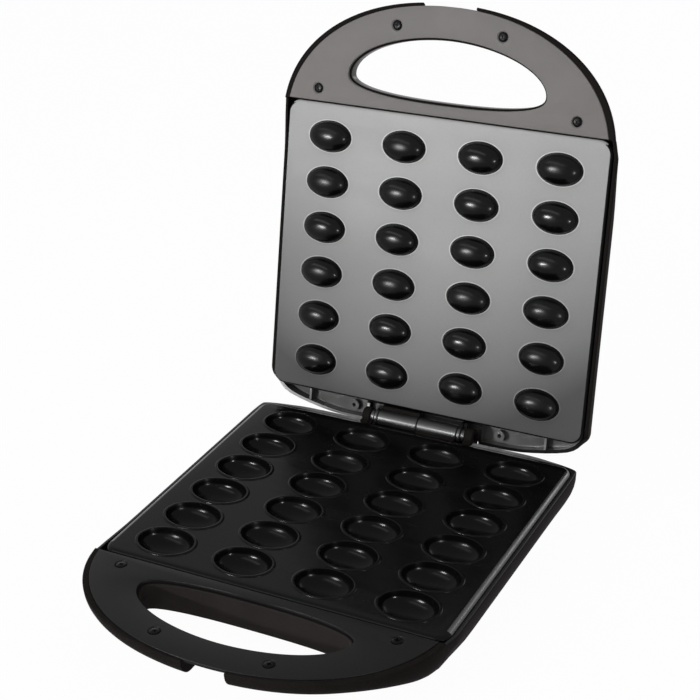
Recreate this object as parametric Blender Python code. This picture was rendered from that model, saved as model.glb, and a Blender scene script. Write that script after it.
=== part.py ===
"""Electric nut-cookie maker with two hinged halves: metres, +Z up, handles towards -Y.

Each half is modelled in its own half frame, whose origin lies on the hinge axis:
x runs along the axis, d runs forwards to the handle and h runs from the meeting
plane into the housing. at(x, d, h) turns these into the frame of the lower half.
The lid is the same construction, turned over about Y and swung open.
"""

import math

import bmesh
import bpy
import numpy as np
from mathutils import Vector

# Clearances
CLEAR = 0.0003
OVERRUN = 0.004

# Main sizes of a half
BODY_HALF_WIDTH = 0.1445
HANDLE_STEP = 0.2549
WALL = 0.0025

# Baking plates
PLATE_SIDE_GAP = 0.0007
PLATE_HALF_WIDTH = BODY_HALF_WIDTH - WALL - PLATE_SIDE_GAP
PLATE_REAR = 0.0112
PLATE_FRONT = HANDLE_STEP - CLEAR
PLATE_CORNER = 0.011
PLATE_LEVEL = 0.0005
PLATE_BEVEL = 0.0023
PLATE_BEVEL_SHARE = 0.3
PLATE_THICK = 0.004
SKIRT_LEVEL = 0.009
SKIRT_WIDTH = 0.003
PLATE_BOSS_RADIUS = 0.005
PLATE_BOSS_ROWS = (1, 5)

# Baking pattern
ROWS = 6
COLUMNS = 4
PATTERN_REAR = 0.0268
PATTERN_FRONT = 0.0266
PATTERN_SIDE = 0.0188
CAVITY_LENGTH = 0.044
CAVITY_GAP = 0.006
CAVITY_DEPTH = 0.0115
CUP_WALL = 0.0027
MOULD_GAP = 0.0035
MOULD_DEPTH_GAP = 0.002
DOME_WALL = 0.003
FIRST_ROW = PLATE_REAR + PATTERN_REAR
ROW_PITCH = (PLATE_FRONT - PATTERN_FRONT - FIRST_ROW) / (ROWS - 1)
COLUMN_PITCH = 2.0 * (PLATE_HALF_WIDTH - PATTERN_SIDE - CAVITY_LENGTH / 2) / (COLUMNS - 1)
CAVITY_WIDTH = ROW_PITCH - CAVITY_GAP
DOME_LENGTH = CAVITY_LENGTH - 2.0 * MOULD_GAP
DOME_WIDTH = CAVITY_WIDTH - 2.0 * MOULD_GAP
DOME_HEIGHT = CAVITY_DEPTH - MOULD_DEPTH_GAP

# Lid and hinge
OPEN_ANGLE = math.radians(104.0)
PIN_RADIUS = 0.0025
PIN_OVERHANG = 0.0012
KNUCKLE_RADIUS = 0.007
KNUCKLE_GAP = 0.0003
LONG_KNUCKLE = 0.036
SHORT_KNUCKLE = 0.007
KNUCKLE_ARM_TOP = 0.0008
KNUCKLE_ARM_DEPTH = 0.011
HINGE_RECESS_HALF = 0.0505
HINGE_RECESS_FRONT = 0.0086
HINGE_RECESS_DEPTH = 0.0145
RECESS_WALL = 0.0023

# Handle, whose middle line lies a little to one side of the plates' own
HANDLE_FLARE = 0.0004
HANDLE_HALF_WIDTH = BODY_HALF_WIDTH + HANDLE_FLARE
HANDLE_CENTRE_BACK = 0.0149
HANDLE_CENTRE = HANDLE_STEP - HANDLE_CENTRE_BACK
HANDLE_REACH = 0.1043
HANDLE_POWER = 2.15
HANDLE_SHIFT = 0.0022
HANDLE_SIZE = (HANDLE_HALF_WIDTH, HANDLE_REACH, HANDLE_POWER)

# Housing, the same in both halves but for its rear edge and its slope into the handle
STEP_RUN = 0.0008
SEAT_PAST_STEP = 0.0004
BODY_END = HANDLE_STEP + SEAT_PAST_STEP
DIVIDER = 0.003
HANDLE_CAVITY_START = BODY_END + DIVIDER
LOWER_SLOPE_BACK = 0.0449
LOWER_SLOPE_AHEAD = 0.0651
LOWER_HANDLE_DEPTH = 0.017
UPPER_SLOPE_BACK = 0.0699
UPPER_SLOPE_AHEAD = 0.0231
UPPER_HANDLE_DEPTH = 0.0115
INSET_SLOPE_BACK = 0.0399
INSET_SLOPE_AHEAD = 0.0251
LOWER_SLOPE = (HANDLE_STEP - LOWER_SLOPE_BACK, HANDLE_STEP + LOWER_SLOPE_AHEAD, LOWER_HANDLE_DEPTH)
UPPER_SLOPE = (HANDLE_STEP - UPPER_SLOPE_BACK, HANDLE_STEP + UPPER_SLOPE_AHEAD, UPPER_HANDLE_DEPTH)
INSET_SLOPE = (HANDLE_STEP - INSET_SLOPE_BACK, HANDLE_STEP + INSET_SLOPE_AHEAD)
SHOULDER_LEVEL = 0.005
SIDE_INSET = 0.027
HANDLE_INSET = 0.012
REAR_INSET = 0.008
REAR_ZONE = 0.010
REAR_SIDE_INSET = 0.024
SIDE_ZONE = 0.060
BODY_RIM = 0.003
HANDLE_RIM = 0.0016
LEDGE_THICK = 0.0022
RIB_THICK = 0.0018
LEDGE_INSET = 0.0063

# Rear edges: shares of the half width, and of the way from the rear edge to the corner
LOWER_REAR = 0.0032
LOWER_CORNER = 0.026
LOWER_REAR_WALL = 0.005
CORNER_WALL = 0.0013
CORNER_RUN = 0.008
LOWER_X_SHARES = (0.9945, 0.978, 0.910, 0.83, 0.69, 0.36)
LOWER_D_SHARES = (0.48, 0.31, 0.19, 0.11, 0.015, 0.0)
UPPER_REAR = -0.008
UPPER_CORNER = 0.024
UPPER_REAR_WALL = 0.0025
UPPER_REAR_RIM = 0.008
RIB_PLACE = 0.108
REAR_BOSS_PLACE = 0.0018
UPPER_X_SHARES = (0.995, 0.970, 0.88, 0.61, 0.36)
UPPER_D_SHARES = (0.75, 0.60, 0.28, 0.03, 0.0)

# Handle cover and its window
COVER_SIDE = 0.0047
COVER_FRONT = 0.0023
COVER_HALF_WIDTH = HANDLE_HALF_WIDTH - COVER_SIDE
COVER_REACH = HANDLE_REACH - COVER_FRONT
COVER_POWER = 2.1
COVER_REAR = HANDLE_STEP + CLEAR
COVER_LEVEL = 0.0006
COVER_THICK = 0.0025
COVER_LEDGE = 0.0025
WINDOW_SIDE = 0.054
WINDOW_AHEAD = 0.0261
GRIP = 0.0247
WINDOW_HALF = COVER_HALF_WIDTH - WINDOW_SIDE
WINDOW_CENTRE = HANDLE_STEP + WINDOW_AHEAD
WINDOW_FRONT_REACH = HANDLE_CENTRE + COVER_REACH - GRIP - WINDOW_CENTRE
WINDOW_FRONT_POWER = 1.9
WINDOW_REAR_REACH = 0.0165
WINDOW_REAR_POWER = 2.5
WINDOW_STEP = 0.002
WINDOW_WALL = 0.0025

# Screws
SCREW_HEAD_RADIUS = 0.004
SCREW_HEAD_HEIGHT = 0.0022
SCREW_SHANK_RADIUS = 0.0015
SCREW_LENGTH = 0.009
SCREW_SINK = 0.0001
SCREW_BOSS_RADIUS = 0.0045
CROSS_LENGTH = 0.0042
CROSS_WIDTH = 0.001
CROSS_DEPTH = 0.001
PLATE_SCREW_HEAD_RADIUS = 0.0042
PLATE_SCREW_HEAD_HEIGHT = 0.0026
PLATE_SCREW_LENGTH = 0.0085
SCREW_FROM_SIDE = 0.0277
SCREW_FROM_REAR = 0.0108
SCREW_FROM_FRONT = 0.0185
FRONT_SCREW_SHARE = 0.3245
SIDE_SCREW = (COVER_HALF_WIDTH - SCREW_FROM_SIDE, COVER_REAR + SCREW_FROM_REAR)
FRONT_SCREW = (
    COVER_HALF_WIDTH * FRONT_SCREW_SHARE,
    HANDLE_CENTRE + COVER_REACH - SCREW_FROM_FRONT,
)

# Heating parts, stacked behind the plates, and the depth of body that they need
ELEMENT_RADIUS = 0.0032
LOWER_ELEMENT_GAP = 0.0049
UPPER_ELEMENT_GAP = 0.0026
CUP_END = PLATE_LEVEL + CAVITY_DEPTH + CUP_WALL
LOWER_REFLECTOR_LEVEL = CUP_END + 2.0 * ELEMENT_RADIUS + LOWER_ELEMENT_GAP
UPPER_REFLECTOR_LEVEL = PLATE_LEVEL + PLATE_THICK + 2.0 * ELEMENT_RADIUS + UPPER_ELEMENT_GAP
REFLECTOR_FROM_FLOOR = 0.013
BODY_DEPTH = LOWER_REFLECTOR_LEVEL + REFLECTOR_FROM_FLOOR
ELEMENT_BEND = 0.018
ELEMENT_REAR_MARGIN = 0.0148
ELEMENT_FRONT_MARGIN = 0.0186
ELEMENT_REAR = PLATE_REAR + ELEMENT_REAR_MARGIN
ELEMENT_FRONT = PLATE_FRONT - ELEMENT_FRONT_MARGIN
ELEMENT_RETURN = 0.060
ELEMENT_TAIL = 0.014
REFLECTOR_THICK = 0.001
REFLECTOR_RIM = 0.003
REFLECTOR_SIDE_MARGIN = 0.0193
REFLECTOR_END_MARGIN = 0.0087
REFLECTOR_HALF_WIDTH = PLATE_HALF_WIDTH - REFLECTOR_SIDE_MARGIN
REFLECTOR_REAR = PLATE_REAR + REFLECTOR_END_MARGIN
REFLECTOR_FRONT = PLATE_FRONT - REFLECTOR_END_MARGIN
REFLECTOR_CORNER = 0.012
POST_RADIUS = 0.0075
POST_BORE = 0.005
THERMOSTAT_RADIUS = 0.0078
THERMOSTAT_HEIGHT = 0.008
THERMOSTAT_CAP_RADIUS = 0.0062
THERMOSTAT_STEP = 0.0032
THERMOSTAT_PLACE = FIRST_ROW + ROW_PITCH * (ROWS - 1) / 2
FUSE_RADIUS = 0.0022
FUSE_LENGTH = 0.014
FUSE_PLACE = THERMOSTAT_PLACE + ROW_PITCH
TERMINAL_LENGTH = 0.034
TERMINAL_WIDTH = 0.014
TERMINAL_TOP_GAP = 0.0007
TERMINAL_FROM_POST = 0.0025
TERMINAL_HEIGHT = REFLECTOR_FROM_FLOOR - REFLECTOR_THICK - WALL - CLEAR - TERMINAL_TOP_GAP
TERMINAL_X = COLUMN_PITCH - POST_RADIUS - TERMINAL_FROM_POST - TERMINAL_LENGTH / 2
TERMINAL_D = 0.052

# Cord inlet in the rear wall
INLET_PLACE = 0.078
INLET_WALL = 0.0034
INLET_PAD = 0.0105
INLET_LEVEL = 0.022
INLET_RADIUS = 0.0065
INLET_BORE = 0.0034
INLET_FLANGE = 0.009
INLET_FLANGE_THICK = 0.002
INLET_LENGTH = 0.012

# Feet
FOOT_RADIUS = 0.0095
FOOT_TOE_RADIUS = 0.008
FOOT_HEIGHT = 0.006
FOOT_SIDE_MARGIN = 0.0525
FOOT_HALF_TRACK = BODY_HALF_WIDTH - FOOT_SIDE_MARGIN
FOOT_BACK = 0.0869
FOOT_ROWS = (0.030, HANDLE_STEP - FOOT_BACK)

# Indicator lamps in the lid
LAMP_RADIUS = 0.0042
LAMP_FLANGE = 0.006
LAMP_PROUD = 0.0016
LAMP_SHOULDER = (0.0054, 0.001)
LAMP_CROWN_RADIUS = 0.003
LAMP_DEPTH = 0.007
LAMP_HALF_SPACING = 0.012
LAMP_BACK = 0.0869
LAMP_PLACE = HANDLE_STEP - LAMP_BACK
LAMP_BOARD = (0.044, 0.014, 0.0016)

# Latch clip in the middle of the handle
LOWER_NOTCH = (-0.014, 0.020)
UPPER_NOTCH = (-0.019, 0.028)
NOTCH_DEPTH = 0.0223
NOTCH_BACK = HANDLE_CENTRE + HANDLE_REACH - NOTCH_DEPTH
NOTCH_CHEEK = 0.004
LATCH_HALF_WIDTH = 0.0145
LATCH_PLACE = -0.0025
LATCH_PIVOT_AHEAD = 0.009
LATCH_PIVOT_D = NOTCH_BACK + LATCH_PIVOT_AHEAD
LATCH_PIVOT_H = 0.0085
LATCH_PIN_RADIUS = 0.0012
LATCH_BARREL = 0.0032
LATCH_THICK = 0.0024
LATCH_OUT = 0.0046
LATCH_GAP = 0.0007
LATCH_REACH = HANDLE_CENTRE + HANDLE_REACH + LATCH_OUT - LATCH_PIVOT_D
LATCH_DROP = LATCH_PIVOT_H + COVER_LEVEL + COVER_THICK + LATCH_THICK + LATCH_GAP
LATCH_HOOK = 0.008
LATCH_SWING = math.radians(130.0)

# Drawing accuracy
SHAPE_SIDES = 12
ROUND_SIDES = 16
SCREW_SIDES = 8
BACK_SIDES = 10
HANDLE_STEPS = 12
WINDOW_STEPS = 10
ELEMENT_STEPS = 3
FRONT_TURN = math.radians(86.0)
SHARP_ANGLE = math.radians(35.0)
TURNS = tuple(math.radians(a) for a in (30.0, 60.0, 90.0))
SIDE_SHARES = (1.0, 0.96, 0.83, 0.70, 0.35, 0.13, 0.0)
SEAT_FRONT_SHARE = 0.968
BOWL_SIDES = 12
BOWL_MOUTH_SHARE = 0.2
BOWL_SHARES = ((1.0, 0.0), (0.90, 0.50), (0.58, 0.87))
BACK_SHARES = ((1.0, 0.0), (0.72, 0.75))


BODY_FRONT = {"front": BODY_END, "corner_share": SEAT_FRONT_SHARE}


def at(x, d, h):
    return Vector((x, -d, -h))


def share(value, start, end):
    t = min(max((value - start) / (end - start), 0.0), 1.0)
    return t * t * (3.0 - 2.0 * t)


def blend(first, second, t):
    return first + (second - first) * t


# Scene, materials and objects


def clear_scene():
    for item in list(bpy.data.objects):
        bpy.data.objects.remove(item, do_unlink=True)


def make_material(name, colour, roughness, metallic=0.0):
    material = bpy.data.materials.new(name)
    material.use_nodes = True
    shader = material.node_tree.nodes["Principled BSDF"]
    shader.inputs["Base Color"].default_value = (*colour, 1.0)
    shader.inputs["Roughness"].default_value = roughness
    shader.inputs["Metallic"].default_value = metallic
    return material


def make_frame(name, parent=None, location=(0, 0, 0), turn=(0, 0, 0)):
    frame = bpy.data.objects.new(name, None)
    bpy.context.scene.collection.objects.link(frame)
    frame.parent = parent
    frame.location = location
    frame.rotation_euler = turn
    return frame


def add_object(name, bm, frame, material=None, smooth=True):
    mesh = bpy.data.meshes.new(name)
    bmesh.ops.recalc_face_normals(bm, faces=bm.faces)
    bm.to_mesh(mesh)
    bm.free()
    if smooth:
        mesh.shade_smooth()
        mesh.set_sharp_from_angle(angle=SHARP_ANGLE)
    item = bpy.data.objects.new(name, mesh)
    bpy.context.scene.collection.objects.link(item)
    item.parent = frame
    if material:
        mesh.materials.append(material)
    return item


def add_cutter(name, bm, frame):
    cutter = add_object(name, bm, frame, smooth=False)
    cutter.hide_render = True
    cutter.display_type = "WIRE"
    return cutter


def apply_tool(item, tool, operation):
    change = item.modifiers.new(tool.name, "BOOLEAN")
    change.object = tool
    change.operation = operation
    change.solver = "EXACT"


# Shapes


def loft(bm, rings, cap="flat", loop=False):
    """Joins rings of equal length; a strip cap is built between mirrored points."""
    rows = [[bm.verts.new(p) for p in ring] for ring in rings]
    count = len(rows[0])
    following = rows[1:] + (rows[:1] if loop else [])
    for lower, upper in zip(rows, following):
        for i in range(count):
            j = (i + 1) % count
            bm.faces.new((lower[i], lower[j], upper[j], upper[i]))
    if loop:
        return
    for row in (rows[0], rows[-1]):
        if cap == "flat":
            bm.faces.new(row)
        elif cap == "strip":
            for i in range(count // 2 - 1):
                bm.faces.new((row[i], row[i + 1], row[-i - 2], row[-i - 1]))


def mirrored(points):
    return points + [(-p[0], *p[1:]) for p in reversed(points)]


def prism(bm, outline, top, bottom):
    loft(bm, [[at(x, d, h) for x, d in outline] for h in (top, bottom)])


def box(bm, x, d, h):
    prism(bm, [(x[0], d[0]), (x[1], d[0]), (x[1], d[1]), (x[0], d[1])], *h)


def circle(radius, run, place, along, sides):
    points = []
    for i in range(sides):
        a = 2.0 * math.pi * (i + 0.5) / sides
        u, v = radius * math.cos(a), radius * math.sin(a)
        x, d, h = {"h": (u, v, run), "d": (u, run, v), "x": (run, u, v)}[along]
        points.append(at(place[0] + x, place[1] + d, place[2] + h))
    return points


def turned(bm, profile, place, along="h", sides=ROUND_SIDES, loop=False):
    """A round solid from (radius, position) pairs along h, d or x; a loop profile leaves a bore."""
    loft(bm, [circle(radius, run, place, along, sides) for radius, run in profile], loop=loop)


def rounded_rectangle(half_width, rear, front, corner, inset, h, steps=4):
    points = []
    for centre_d, start in ((front - corner, 0.5), (rear + corner, 0.0)):
        for i in range(steps + 1):
            a = math.pi * (start - 0.5 * i / steps)
            x = half_width - corner + (corner - inset) * math.cos(a)
            d = centre_d + (corner - inset) * math.sin(a)
            points.append((x, d, h))
    return [at(*p) for p in mirrored(points)]


def bowl(bm, place, length, width, top, reach, shares, sides=BOWL_SIDES):
    """An oval bowl or dome: its mouth lies at top and its crown at top + reach."""
    rings = []
    for across, down in ((1.0, -BOWL_MOUTH_SHARE),) + shares:
        ring = []
        for i in range(sides):
            a = 2.0 * math.pi * (i + 0.5) / sides
            x = place[0] + across * length / 2 * math.cos(a)
            d = place[1] + across * width / 2 * math.sin(a)
            ring.append(at(x, d, top + reach * down))
        rings.append(ring)
    loft(bm, rings, cap="none")
    bm.verts.ensure_lookup_table()
    rows = bm.verts[len(bm.verts) - sides * len(rings) :]
    bm.faces.new(rows[:sides])
    crown = bm.verts.new(at(*place, top + reach))
    last = rows[-sides:]
    for i in range(sides):
        bm.faces.new((last[i], last[(i + 1) % sides], crown))


def pattern():
    for row in range(ROWS):
        for column in range(COLUMNS):
            x = COLUMN_PITCH * (column - (COLUMNS - 1) / 2)
            yield x, FIRST_ROW + row * ROW_PITCH


# Housing


def arc_point(turn, half_width, reach, power):
    """A point of the handle's outline; turn 0 is at the step and a quarter turn at the front."""
    d = blend(HANDLE_STEP, HANDLE_CENTRE + reach, math.sin(turn))
    across = max(1.0 - ((d - HANDLE_CENTRE) / reach) ** power, 0.0)
    return half_width * across ** (1.0 / power), d


def depth_at(form, d):
    start, end, depth = form["slope"]
    return blend(BODY_DEPTH, depth, share(d, start, end))


def inset_at(d):
    side = blend(REAR_SIDE_INSET, SIDE_INSET, share(d, 0.0, SIDE_ZONE))
    return blend(side, HANDLE_INSET, share(d, *INSET_SLOPE))


def handle_ring(inset, level, size=HANDLE_SIZE, first=0.0):
    """Half of the handle's outline from its front to the step; inset and level depend on d."""
    points = []
    for i in range(HANDLE_STEPS + 1):
        turn = blend(FRONT_TURN, first, i / HANDLE_STEPS)
        d = arc_point(turn, *HANDLE_SIZE)[1]
        half_width, reach, power = size
        x, along = arc_point(turn, half_width - inset(d), reach - inset(d), power)
        points.append((x, along, level(d)))
    return points


def body_ring(form, side_inset, rear_inset, level, front=HANDLE_STEP - STEP_RUN, corner_share=1.0):
    """Half of the body's outline from the step to the middle of the rear edge."""
    points = []
    length = HANDLE_STEP - form["edge"]
    outline = [(1.0, blend(form["corner"], front, s)) for s in SIDE_SHARES]
    outline[0] = (corner_share, front)
    for across, along in zip(form["x_shares"], form["d_shares"]):
        outline.append((across, blend(form["edge"], form["corner"], along)))
    for across, d in outline:
        x = across * (BODY_HALF_WIDTH - side_inset(d))
        points.append((x, front - (front - d) * (1.0 - rear_inset(d) / length), level(d)))
    return points


def ring_of(form, handle, body=()):
    """A whole ring: the handle's points are mirrored about its own middle line."""
    shift = form["shift"]
    right = [(x + shift, d, h) for x, d, h in handle] + list(body)
    left = [(-x, d, h) for x, d, h in reversed(body)]
    left += [(shift - x, d, h) for x, d, h in reversed(handle)]
    return [at(*p) for p in right + left]


def outer_rings(form):
    def body_rim(d):
        return blend(form["rim"], BODY_RIM, share(d, REAR_ZONE, form["corner"]))

    def curved(rim, turn):
        shoulder = SHOULDER_LEVEL - BODY_RIM
        return lambda d: blend(rim(d) + shoulder, depth_at(form, d), math.sin(turn))

    def handle_rim(d):
        return HANDLE_RIM

    plain = flat(0.0)
    rings = [ring_of(form, handle_ring(plain, handle_rim), body_ring(form, plain, plain, body_rim))]
    for turn in (0.0,) + TURNS:
        bend = 1.0 - math.cos(turn)
        inset = lambda d, b=bend: inset_at(d) * b
        handle = handle_ring(inset, curved(handle_rim, turn))
        body = body_ring(form, inset, flat(REAR_INSET * bend), curved(body_rim, turn))
        rings.append(ring_of(form, handle, body))
    return rings


def flat(value):
    return lambda d: value


def rear_wall_inset(form, more=0.0):
    edge = form["edge"]
    return lambda d: more + blend(form["wall"], CORNER_WALL, share(d, edge, edge + CORNER_RUN))


def body_seat_rings(form):
    seat = SKIRT_LEVEL + CLEAR
    wall = rear_wall_inset(form)
    return [
        ring_of(form, [], body_ring(form, flat(WALL), wall, flat(level), **BODY_FRONT))
        for level in (-OVERRUN, seat)
    ]


def body_cavity_rings(form):
    seat = SKIRT_LEVEL + CLEAR
    ledge_end = seat + LEDGE_THICK
    wall = rear_wall_inset(form)
    rings = [
        ring_of(form, [], body_ring(form, flat(LEDGE_INSET), wall, flat(level), **BODY_FRONT))
        for level in (seat - CLEAR, ledge_end)
    ]
    for turn in TURNS:
        bend = 1.0 - math.cos(turn)
        inset = lambda d, b=bend: WALL + inset_at(d) * b
        level = lambda d, t=turn: blend(ledge_end, depth_at(form, d) - WALL, math.sin(t))
        wall = rear_wall_inset(form, REAR_INSET * bend)
        rings.append(ring_of(form, [], body_ring(form, inset, wall, level, **BODY_FRONT)))
    return rings


def cover_outline(form, grow):
    size = (COVER_HALF_WIDTH + grow, COVER_REACH + grow, COVER_POWER)
    points = handle_ring(flat(0.0), flat(0.0), size=size)
    return shifted(form, [(x, max(d, COVER_REAR - grow)) for x, d, h in points])


def shifted(form, points):
    return [(x + form["shift"], d) for x, d in mirrored(points)]


def handle_cavity_rings(form):
    first = math.asin((HANDLE_CAVITY_START - HANDLE_STEP) / (HANDLE_CENTRE + HANDLE_REACH - HANDLE_STEP))
    seat = COVER_LEVEL + COVER_THICK + CLEAR
    ledge_end = seat + LEDGE_THICK
    size = (COVER_HALF_WIDTH, COVER_REACH, COVER_POWER)
    rings = [
        ring_of(form, handle_ring(flat(COVER_LEDGE), flat(level), size=size, first=first))
        for level in (seat - CLEAR, ledge_end)
    ]
    for turn in TURNS:
        bend = 1.0 - math.cos(turn)
        inset = lambda d, b=bend: WALL + inset_at(d) * b
        level = lambda d, t=turn: blend(ledge_end, depth_at(form, d) - WALL, math.sin(t))
        rings.append(ring_of(form, handle_ring(inset, level, first=first)))
    return rings


def window_outline(grow):
    """Half of the window's outline, from its front round to its rear."""
    points = []
    for i in range(WINDOW_STEPS):
        a = math.pi / 2 * (1.0 - (i + 0.5) / WINDOW_STEPS)
        x = (WINDOW_HALF + grow) * math.cos(a) ** (2.0 / WINDOW_FRONT_POWER)
        rise = math.sin(a) ** (2.0 / WINDOW_FRONT_POWER)
        points.append((x, WINDOW_CENTRE + (WINDOW_FRONT_REACH + grow) * rise))
    half = WINDOW_STEPS // 2
    for i in range(half):
        a = math.pi / 2 * (i + 0.5) / half
        x = (WINDOW_HALF + grow) * math.cos(a) ** (2.0 / WINDOW_REAR_POWER)
        fall = math.sin(a) ** (2.0 / WINDOW_REAR_POWER)
        points.append((x, WINDOW_CENTRE - (WINDOW_REAR_REACH + grow) * fall))
    return points


def window_prism(bm, form, grow, top, bottom):
    prism(bm, shifted(form, window_outline(grow)), top, bottom)


def cover_screw_places(form):
    for x, d in (SIDE_SCREW, FRONT_SCREW):
        yield form["shift"] - x, d
        yield form["shift"] + x, d


def plate_boss_places():
    for row in PLATE_BOSS_ROWS:
        for side in (-1, 1):
            yield side * COLUMN_PITCH, FIRST_ROW + (row - 0.5) * ROW_PITCH


def knuckles():
    """Ends along x of this half's two knuckles: a long one and a short one."""
    gap = KNUCKLE_GAP / 2
    yield gap, LONG_KNUCKLE - gap
    yield -(LONG_KNUCKLE + SHORT_KNUCKLE), -LONG_KNUCKLE - gap


def shape(item, name, frame, builders, operation="DIFFERENCE"):
    """Applies one Boolean with a tool made of separate solids that don't touch each other."""
    bm = bmesh.new()
    for build in builders:
        build(bm)
    apply_tool(item, add_cutter(name, bm, frame), operation)


def round_builder(place, radius, top, bottom, sides=SHAPE_SIDES):
    return lambda bm: turned(bm, [(radius, top), (radius, bottom)], (*place, 0.0), sides=sides)


def box_builder(x, d, h):
    return lambda bm: box(bm, x, d, h)


def cutter_of(name, frame, rings):
    bm = bmesh.new()
    loft(bm, rings, cap="strip")
    return add_cutter(name, bm, frame)


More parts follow.
